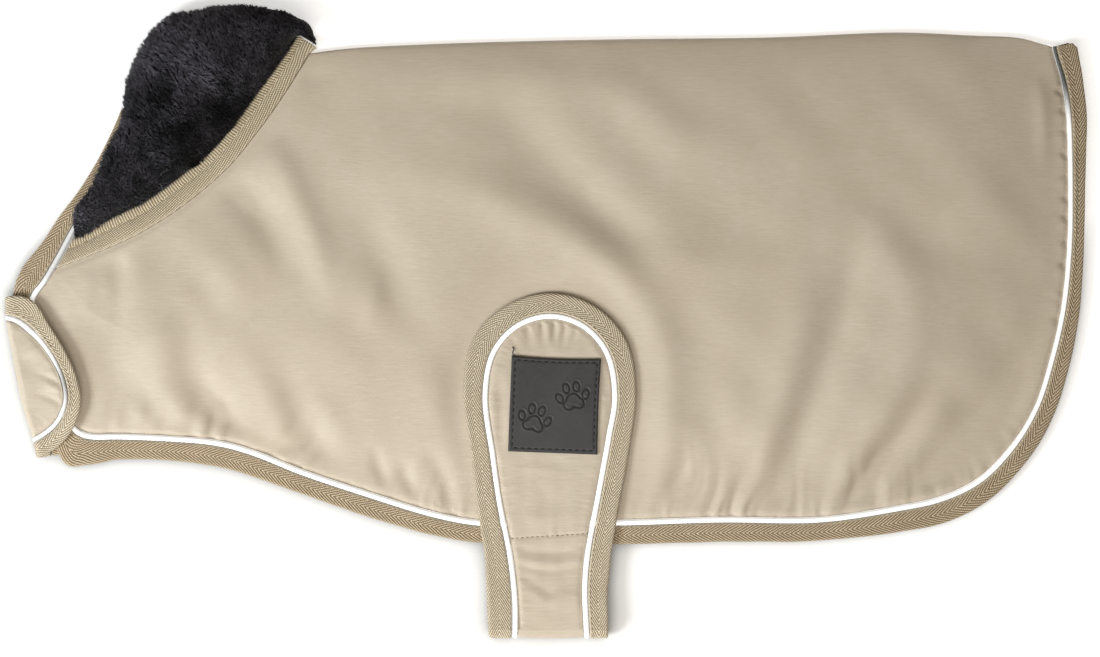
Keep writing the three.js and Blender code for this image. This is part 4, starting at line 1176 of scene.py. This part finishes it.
def pile(name, skin, reach, count, seed, weights):
    """Plush pile as slim spikes. Each stands on the skin and ends near the reach, leans with its
    neighbours, and is drawn towards the tip of its clump. Clumps differ in length and tone, and
    each spike gets painted shade towards its root."""
    rng = np.random.default_rng(seed)
    n, m = reach.shape[:2]
    step = np.roll(reach, -1, 1) - reach
    side = np.diff(reach, axis=0)
    area = np.linalg.norm(np.cross(step[:-1], side), axis=2) * weights[None, :]
    cell = rng.choice(area.size, count, p=area.ravel() / area.sum())
    spot = np.stack([cell // m, cell % m], 1) + rng.random((count, 2))
    warp = np.stack([ripple(*(spot * 1.9).T, 5.5, seed + k) for k in (7, 8)], 1) * [1.0, 0.55]
    clump = np.maximum(np.floor((spot + warp) / CLUMP), 0).astype(int)
    many = clump.max(0) + 1
    own = rng.random((*many, 5))[clump[:, 0], clump[:, 1]]
    tall, shade, own_turn = 0.72 + 0.28 * own[:, 0], own[:, 1], own[:, 2] - 0.5
    centre = np.clip((clump + 0.15 + 0.7 * own[:, 3:]) * CLUMP - warp, 0, (n - 1.01, m - 0.01))
    outward = np.minimum(spot[:, 1], m - spot[:, 1]) / (m / 2)
    way = unit(reach[cell // m, m // 2, :2] - reach[cell // m, 0, :2])
    root, tip = sample(skin, *spot.T), sample(reach, *spot.T)
    tip += (sample(reach, *centre.T) - tip) * rng.uniform(0.3, 0.75, (count, 1))
    x, y = root[:, 0], root[:, 1]
    turn = 1.9 + 1.6 * ripple(x, y, 40, seed + 2) + 2.2 * own_turn
    lean = np.stack([np.cos(turn), np.sin(turn), 0 * turn], 1) * rng.uniform(0.3, 1.7, (count, 1))
    over_tape = ease(outward, 0.12, 0.0) * (spot[:, 1] > m / 2)
    lean[:, :2] -= way * (1.6 * over_tape)[:, None]
    tip = root + (tip - root) * tall[:, None] + lean + rng.normal(0, 0.28, (count, 3))
    tip[:, 2] = np.maximum(tip[:, 2], 0.1)
    points, faces = spikes(root, tip, rng.normal(size=(count, 3)))
    tone = plush_tone(x, y, shade, outward, seed + 5) + rng.uniform(-0.14, 0.14, count)
    # each spike's root gets painted shade, its tip the full tone
    values = np.clip(tone, 0.02, 1)[:, None] * [ROOT_PAINTED_SHADE, ROOT_PAINTED_SHADE, ROOT_PAINTED_SHADE, 1.0]
    return piece(name, points, faces, PLUSH_PILE, None, {"tone": values})


def collar_half(name, rows, upper, count, seed):
    """A collar half: the cloth within, and its pile. The pile is thick near the outline and
    where it shows, and thin or absent on the faces that lie hidden."""
    reach = collar_rings(rows, upper)
    steps = reach.shape[1] // 2
    skin = shrunk(reach, keep=0.5, narrow=0.955)
    cloth = swept(name + "_cloth", skin, PLUSH_SKIN, None,
                  {"tone": np.full(skin.shape[0] * skin.shape[1], 0.1)})
    hidden = np.full(steps, 0.10 if upper else 0.0)
    hidden[-5:] = 1.0
    shown = np.full(steps, 1.0 if upper else 0.35)
    shown[:6] = 1.0
    return cloth, pile(name + "_pile", skin, reach, count, seed, np.concatenate([hidden, shown]))


neck_left = neck_tape("neck_tape_upper", first=0.0, bottom=UPPER_Z, thick=2.8)
neck_right = neck_tape("neck_tape_lower", first=LOWER_FIRST, bottom=0.0, thick=2.4)
near_cloth, near_pile = collar_half("collar_left", COLLAR_UPPER, upper=True, count=46000, seed=101)
far_cloth, far_pile = collar_half("collar_right", COLLAR_LOWER, upper=False, count=12000, seed=202)

# ---- bound edges ------------------------------------------------------------------------------
# Painted glow of the piping, with grey painted shade where it is low: hardly any where the piping
# turns over at the tail, and less up the chest and in the middle of the flap's edge, where it is
# also sewn in deeper.
edge_painted_glow = np.where(left_at[:, 0] > 0, 1 - 0.97 * ease(left_at[:, 1], 104, 134),
                    1 - 0.45 * ease(left_at[:, 1], 14, 28))
sewn_deep = bell(FLAP_LINE[0][:, 1] + 10, 12)
STRIP_TAPE_Z = -1.0                # underside of a strip's tape from its middle surface
FLAP_TAPE_IN = 1.25                # the flap's tape starts this far from its piping's middle

edge_tape = tape("edge_tape_left", LEFT_LINE, UPPER_Z, HEM_TAPE_PAINTED_SHADE, cord=LEFT_CORD)
edge_piping = piping("edge_piping_upper", LEFT_LINE, UPPER_PIPING, cord=LEFT_CORD, painted_light=edge_painted_glow)
hem_tape = tape("hem_tape_right", RIGHT_HEM, 0.0, HEM_TAPE_PAINTED_SHADE)
hem_piping = piping("hem_piping_lower", RIGHT_HEM, LOWER_PIPING)
chest_tape = tape("chest_tape_right", RIGHT_CHEST, 0.0, HEM_TAPE_PAINTED_SHADE)
# the chest's piping gets half the painted glow, and painted shade
chest_piping = piping("chest_piping_lower", RIGHT_CHEST, LOWER_PIPING, cord=1.1, painted_light=0.5)
strap_tape = tape("strap_tape", STRAP_LINE, STRIP_TAPE_Z, STRAP_TAPE_PAINTED_LIGHT, on_strap)
strap_piping = piping("strap_piping", STRAP_LINE, STRIP_PIPING, on_strap)
flap_tape = tape("flap_tape", FLAP_LINE, STRIP_TAPE_Z, STRAP_TAPE_PAINTED_LIGHT, on_flap, FLAP_TAPE_IN)
# the flap's piping gets less painted glow, and painted shade, where it is sewn in deeper
flap_piping = piping("flap_piping", FLAP_LINE, STRIP_PIPING, on_flap,
                     FLAP_CORD - 0.3 * sewn_deep, 0.78 - 0.45 * sewn_deep)
STITCH_Z = TAPE_THICK + 0.02       # from a tape's underside to the middle of its stitches
edge_thread = stitch_row("edge_stitches", LEFT_LINE, UPPER_Z + STITCH_Z, laid)
strap_thread = stitch_row("strap_stitches", STRAP_LINE, STRIP_TAPE_Z + STITCH_Z, on_strap)
flap_thread = stitch_row("flap_stitches", FLAP_LINE, STRIP_TAPE_Z + STITCH_Z, on_flap)


# ---- chest flap and belly strap ---------------------------------------------------------------
# Creases across a strip's own plane. Rows: x, distance from the fold, half width, height.
STRAP_CREASES = [
    # gathers at the head
    [(-9.5, 171, 1.8, -0.8), (-8.5, 165, 2.4, -0.55), (-8, 158, 2.6, 0)],
    [(-1.5, 173, 1.6, -0.95), (-1, 167, 2.0, -0.65), (-1, 160, 2.4, 0)],
    [(2.0, 173, 1.5, 0.45), (2.2, 167, 1.8, 0.35), (2, 161, 2.0, 0)],
    [(6.0, 173, 1.5, -1.1), (5.6, 167, 1.9, -0.8), (5, 160, 2.2, 0)],
    [(11.5, 171.5, 1.6, -1.0), (10.4, 165, 2.0, -0.65), (9, 158, 2.4, 0)],
    [(17.5, 168, 1.7, -0.6), (15.5, 162, 2.2, -0.3), (14, 157, 2.4, 0)],
    [(-18, 165, 2.0, -0.35), (-16, 160, 2.4, 0)],
    # between the stitch line and the fold
    [(-20, 52, 2.4, 0), (-12, 49, 2.6, -0.5), (2, 47.5, 2.8, -0.7), (16, 49, 2.6, -0.5),
     (26, 53, 2.4, 0)],
    [(-20, 46, 2.2, 0), (-9, 43, 2.2, 0.35), (4, 41.5, 2.4, 0.45), (16, 43, 2.2, 0.35),
     (26, 47, 2.2, 0)],
    [(-17, 41, 1.8, 0), (-6, 38.5, 1.8, -0.35), (6, 37.5, 1.8, -0.4), (18, 39.5, 1.8, -0.2),
     (24, 42, 1.8, 0)],
    [(-16, 37, 2.6, 0), (-8, 32, 2.8, -0.28), (-1, 27.5, 2.8, -0.36), (4, 26, 2.8, -0.36),
     (10, 28, 2.8, -0.26), (18, 32, 2.6, 0)],
    [(-15, 31, 3.0, 0), (-6, 26, 3.4, 0.3), (4, 20.5, 3.6, 0.4), (12, 23.5, 3.4, 0.25),
     (20, 28, 2.8, 0)],
    # beside the patch
    [(-25, 98, 2.6, 0), (-24, 112, 3.2, -0.6), (-24, 132, 3.0, -0.5), (-25, 146, 2.6, 0)],
    [(-21, 92, 3.0, 0), (-8, 94, 3.4, 0.35), (10, 92, 3.2, 0.2), (22, 88, 3.0, 0)],
    [(30, 150, 2.2, 0), (34, 140, 2.4, -0.4), (36, 128, 2.2, 0)],
    [(-14, 70, 4.0, 0), (-4, 66, 5.0, 0.45), (10, 68, 4.5, 0.35), (22, 74, 4.0, 0)],
]
FLAP_CREASES = [
    [(9, -2, 1.6, 0), (14, -5, 1.8, -0.55), (20, -9, 1.8, -0.75)],
    [(7, -12, 1.6, 0), (12, -15.5, 1.8, -0.5), (19, -21, 1.8, -0.7)],
    [(13, -9, 1.6, 0), (16, -11, 1.8, 0.45), (20, -14, 1.6, 0.3)],
    [(4, 18, 2.6, 0), (10, 10, 3.2, 0.35), (17, 4, 2.4, 0)],
    [(2, 6, 3.0, 0), (6, -8, 3.6, 0.35), (5, -24, 3.0, 0)],
]
# Stitch line across the belly strap, from one end to the other. Columns: x, distance from the fold.
SEAM = np.linspace((-17.3, 55.4), (23.9, 58.0), 16)
SEAM_STITCH = dict(length=1.3, radius=0.22, level=0.68)
PATCH_CLEAR = 3.0                  # the cloth lies flat to this far round the patch


def strip_grid(line, offset, rows):
    """Grid of a strip's cloth in its own plane: rows between opposite points of a line inside
    its piping. That line comes with it."""
    at, out, _ = line
    inner_line = at - out * offset
    half = len(at) // 2
    a, b = inner_line[:half], inner_line[::-1][:half]
    share = np.linspace(0, 1, rows)[None, :, None]
    return a[:, None] + (b - a)[:, None] * share, inner_line


def strip_relief(points, inner_line, creases, seed, gathers):
    """Creases, gathers along the sewn edge, and the strip's slight sink beside its piping."""
    away, place = nearest(points, inner_line[::4])
    wave = waver(place, 6.5, seed) + 0.5 * waver(place, 3.6, seed + 1)
    relief = fold_height(points, creases) + 0.12 * ripple(*points.T, 15, seed + 2)
    relief += gathers * wave * np.exp(-((away / 6) ** 1.5)) * ease(away, -1, 2)
    return relief * ease(away, -0.5, 3) - 0.75 * bell(away, 1.5)


def strip_cloth(name, grid, relief, place):
    """A strip's cloth, whose inner face follows only the troughs of its outer one."""
    relief = relief.reshape(grid.shape[:2])
    outer = place(grid[..., 0], grid[..., 1], STRIP_FACE + relief)
    inner = place(grid[..., 0], grid[..., 1], STRIP_BACK + 0.6 * np.minimum(relief, 0))
    return wall(name, outer, inner, SATIN)


def patch_away(points):
    """Distance outside the patch's outline, in the strap's own plane."""
    away = np.abs(turned(points - [PATCH["x"], PATCH["s"]], PATCH["turn"])) - PATCH_HALF
    return np.hypot(*np.maximum(away, 0).T)


def belly_strap():
    """The strap's cloth: creased and gathered past its fold, pulled in along its seam, flat
    round the patch, and sagging just past the fold."""
    grid, inner_line = strip_grid(STRAP_LINE, PIPING + SEWN_IN, rows=51)
    flat = grid.reshape(-1, 2)
    x, s = flat.T
    relief = strip_relief(flat, inner_line, STRAP_CREASES, seed=51, gathers=0.15)
    holes = sum(bell(x - at, 0.7) * bell(s - level, 0.6) for at, level in SEAM)
    past = s - np.interp(x, *SEAM.T)
    gather = 0.13 * waver(x, 4.5, 71) * np.exp(-np.maximum(past, 0) / 4)
    relief += gather * ease(past, -0.8, 1.0) - 0.35 * holes - 0.28 * bell(past, 1.2)
    relief *= ease(patch_away(flat), 0.0, PATCH_CLEAR) * (s > 6)
    relief -= (1 - ease(s, 3, 22)) * ease(s, 0, 5)
    return strip_cloth("belly_strap_cloth", grid, relief, on_strap)


def chest_flap():
    """The flap's cloth, creased past its fold."""
    grid, inner_line = strip_grid(FLAP_LINE, FLAP_CORD + SEWN_IN, rows=44)
    flat = grid.reshape(-1, 2)
    relief = strip_relief(flat, inner_line, FLAP_CREASES, seed=61, gathers=0.22)
    return strip_cloth("chest_flap_cloth", grid, relief * (flat[:, 0] > 4), on_flap)


strap_cloth, flap_cloth = belly_strap(), chest_flap()
seam_at = at_level(on_strap, SEAM, SEAM_STITCH["level"])
seam_way = np.append(SEAM[1] - SEAM[0], 0.0) / 2
seam_thread = stitches("strap_seam_stitches", seam_at - seam_way, seam_at + seam_way,
                       SEAM_STITCH["length"], SEAM_STITCH["radius"], SHELL_THREAD)

# ---- patch ------------------------------------------------------------------------------------
STITCH_IN, STITCH_PITCH = 2.0, 3.65  # of the patch's stitches: from its edge, and between them
PAWS = [((-10.3, -7.6), 9.0, -0.21), ((10.2, 5.4), 9.3, 0.20)]    # middle, size, turn
# Parts of a paw, as shares of its size. Lobes of the pad: middle, radius. Toes: middle, turn.
LOBES = [((-0.34, -0.46), 0.26), ((0.34, -0.46), 0.26), ((0.0, -0.16), 0.34)]
TOES = [((-0.80, 0.02), 0.35), ((-0.31, 0.56), 0.10), ((0.31, 0.56), -0.10), ((0.80, 0.02), -0.35)]
TOE_HALF, TOE_SIZE = np.array([0.19, 0.29]), 0.21
PATCH_STITCH = dict(length=2.2, radius=0.3, level=PATCH_TOP + 0.05)


def paw_edge(p, at, size, turn):
    """Distance from the outline of a paw: a three-lobed pad blended from discs, and four toes."""
    q = turned(p - at, turn) / size
    blend = 9
    discs = [np.hypot(*(q - middle).T) - radius for middle, radius in LOBES]
    edge = -np.log(sum(np.exp(-disc * blend) for disc in discs)) / blend
    for middle, tilt in TOES:
        share = np.hypot(*(turned(q - middle, tilt) / TOE_HALF).T)
        edge = np.minimum(edge, (share - 1) * TOE_SIZE)
    return edge * size


def patch_relief(p):
    """Pressed and raised parts of the patch: bevelled rim, stitched groove and two paw prints."""
    depth = np.min(PATCH_HALF - np.abs(p), axis=-1)
    groove = bell(depth - STITCH_IN, 0.45)
    raised = -0.45 * bell(depth, 0.35) - 0.16 * groove
    pressed = 0.12 * groove + 0.6 * bell(depth, 0.5)
    for at, size, turn in PAWS:
        edge = paw_edge(p, at, size, turn)
        line = bell(edge, 0.42)
        raised += 0.10 * bell(np.abs(edge) - 1.0, 0.45) - 0.42 * line
        pressed += 0.85 * line
    return raised, np.clip(pressed, 0, 1)


def bowed(points):
    """Points of the patch moved in with its upper and right edges, which bow in a little."""
    a, b = points.T
    half_a, half_b = PATCH_HALF
    in_a = 0.5 * (1 - (b / half_b) ** 2) * ease(a, 0, half_a)
    in_b = 0.8 * (1 - (a / half_a) ** 2) * ease(b, 0, half_b)
    return points - np.stack([in_a, in_b], 1)


def on_patch(a, b, h):
    """Place of a point of the patch, which is turned a little on the strap."""
    c, s = np.cos(PATCH["turn"]), np.sin(PATCH["turn"])
    return on_strap(PATCH["x"] + c * a - s * b, PATCH["s"] + s * a + c * b, h)


def patch_plate():
    """The leather, a fine grid over its face, just clear of the strap's cloth."""
    size = (144, 152)
    axes = (np.linspace(-half, half, count) for half, count in zip(PATCH_HALF, size))
    flat = np.stack(np.meshgrid(*axes, indexing="ij"), -1).reshape(-1, 2)
    raised, pressed = patch_relief(flat)
    a, b = bowed(flat).T.reshape(2, *size)
    top, bottom = PATCH_TOP + raised.reshape(size), np.full(size, STRIP_FACE + 0.05)
    return wall("patch_plate", on_patch(a, b, top), on_patch(a, b, bottom), LEATHER,
                {"pressed": pressed})


def patch_stitches():
    """Stitches round the patch: two rows along each of its two ways."""
    span = PATCH_HALF - STITCH_IN
    before, after = [], []
    for way in (0, 1):
        count = int(round(2 * span[way] / STITCH_PITCH))
        for sign in (-1, 1):
            row = np.empty((count, 2))
            row[:, way] = ((np.arange(count) + 0.5) / count * 2 - 1) * span[way]
            row[:, 1 - way] = sign * span[1 - way]
            before.append(bowed(row) - 0.5 * np.eye(2)[way])
            after.append(bowed(row) + 0.5 * np.eye(2)[way])
    ends = (at_level(on_patch, np.vstack(rows), PATCH_STITCH["level"]) for rows in (before, after))
    return stitches("patch_stitches", *ends, PATCH_STITCH["length"], PATCH_STITCH["radius"],
                    DARK_THREAD)


# Loose end of the patch's thread, over the patch's edge. Columns: across and along from the
# patch's middle, height over its face.
LOOSE_END = [(-22.6, 25.0, 0.25), (-23.6, 26.6, 0.3), (-24.0, 28.2, -0.5), (-23.4, 29.8, -1.1),
             (-24.4, 31.0, -1.2)]


def loose_end():
    """The loose end as a thin six-sided tube along its line."""
    line = smooth_line(LOOSE_END, 5)
    along = unit(np.gradient(line, axis=0))
    side = np.cross(along, [0.0, 0.0, 1.0])
    over = np.cross(side, along)
    angle = np.linspace(0, 2 * np.pi, 6, endpoint=False)[None, :, None]
    ring = line[:, None] + 0.3 * (side[:, None] * np.cos(angle) + over[:, None] * np.sin(angle))
    places = on_patch(ring[..., 0], ring[..., 1], PATCH_TOP + ring[..., 2])
    return swept("patch_thread_end", places, DARK_THREAD)


patch, patch_thread, thread_end = patch_plate(), patch_stitches(), loose_end()

# ---- riding, and what each piece stands for, with a slot listed for each ----------------------
REPLACED = {
    upper_side: ("left_side", "shell"), lower_side: ("right_side", "shell"),
    flap_cloth: ("chest_flap", "shell"), strap_cloth: ("belly_strap", "shell"),
    edge_tape: ("edge_binding_left", "binding"), hem_tape: ("hem_binding_right", "binding"),
    chest_tape: ("chest_binding_right", "binding"), neck_left: ("neck_tape_left", "binding"),
    neck_right: ("neck_tape_right", "binding"), strap_tape: ("belly_strap_binding", "binding"),
    flap_tape: ("chest_flap_binding", "binding"), edge_piping: ("edge_piping_left", "piping"),
    hem_piping: ("hem_piping_right", "piping"), chest_piping: ("chest_piping_right", "piping"),
    strap_piping: ("belly_strap_piping", "piping"), flap_piping: ("chest_flap_piping", "piping"),
    near_cloth: ("collar_left", "plush"), far_cloth: ("collar_right", "plush"),
    patch: ("strap_patch", "patch"),
}
ADDED = {
    near_pile: "plush", far_pile: "plush", edge_thread: "binding", strap_thread: "binding",
    flap_thread: "binding", seam_thread: "shell", patch_thread: "patch", thread_end: "patch",
}
for made, (node, slot) in REPLACED.items():
    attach(made, "root")
    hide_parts(node)
for made, slot in ADDED.items():
    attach(made, "root")

# ---- camera, light and floor ------------------------------------------------------------------
CAMERA_AT = np.array([3.3, -3.6, 1434.0]) * MM    # it looks straight down
FLOOR_HALF, FLOOR_Z = 4000.0, -0.2
camera = bpy.data.objects.new("camera", bpy.data.cameras.new("camera"))
camera.data.lens, camera.data.sensor_width = 85.0, 36.0
camera.location = CAMERA_AT
bpy.context.collection.objects.link(camera)
bpy.context.scene.camera = camera
bpy.context.scene.view_settings.view_transform = "Standard"

# Soft lights. Columns: name, place in metres, size in metres, power in watts, colour.
LIGHTS = [
    ("key", (-1.20, -0.66, 0.86), 0.6, 19.5, (0.92, 0.97, 1.0)),
    ("overhead", (-0.11, -0.50, 0.72), 0.7, 3.8, (1.0, 0.97, 0.93)),
]


def soft_light(name, place, size, power, colour):
    """Round soft light that faces the middle of the coat."""
    lamp = bpy.data.lights.new(name, "AREA")
    lamp.shape, lamp.size, lamp.energy, lamp.color = "DISK", size, power, colour
    holder = bpy.data.objects.new(name, lamp)
    holder.location = place
    holder.rotation_euler = (-Vector(place)).to_track_quat("-Z", "Y").to_euler()
    bpy.context.collection.objects.link(holder)


for light in LIGHTS:
    soft_light(*light)
world = bpy.data.worlds.new("studio")
world.use_nodes = True
daylight = world.node_tree.nodes["Background"].inputs
daylight["Color"].default_value = (1.0, 0.92, 0.79, 1.0)
daylight["Strength"].default_value = 0.245
bpy.context.scene.world = world

around = np.array([(-1, -1), (1, -1), (1, 1), (-1, 1)]) * FLOOR_HALF
floor = piece("floor", np.column_stack([around, np.full(4, FLOOR_Z)]), [[0, 1, 2, 3]],
              floor_finish())
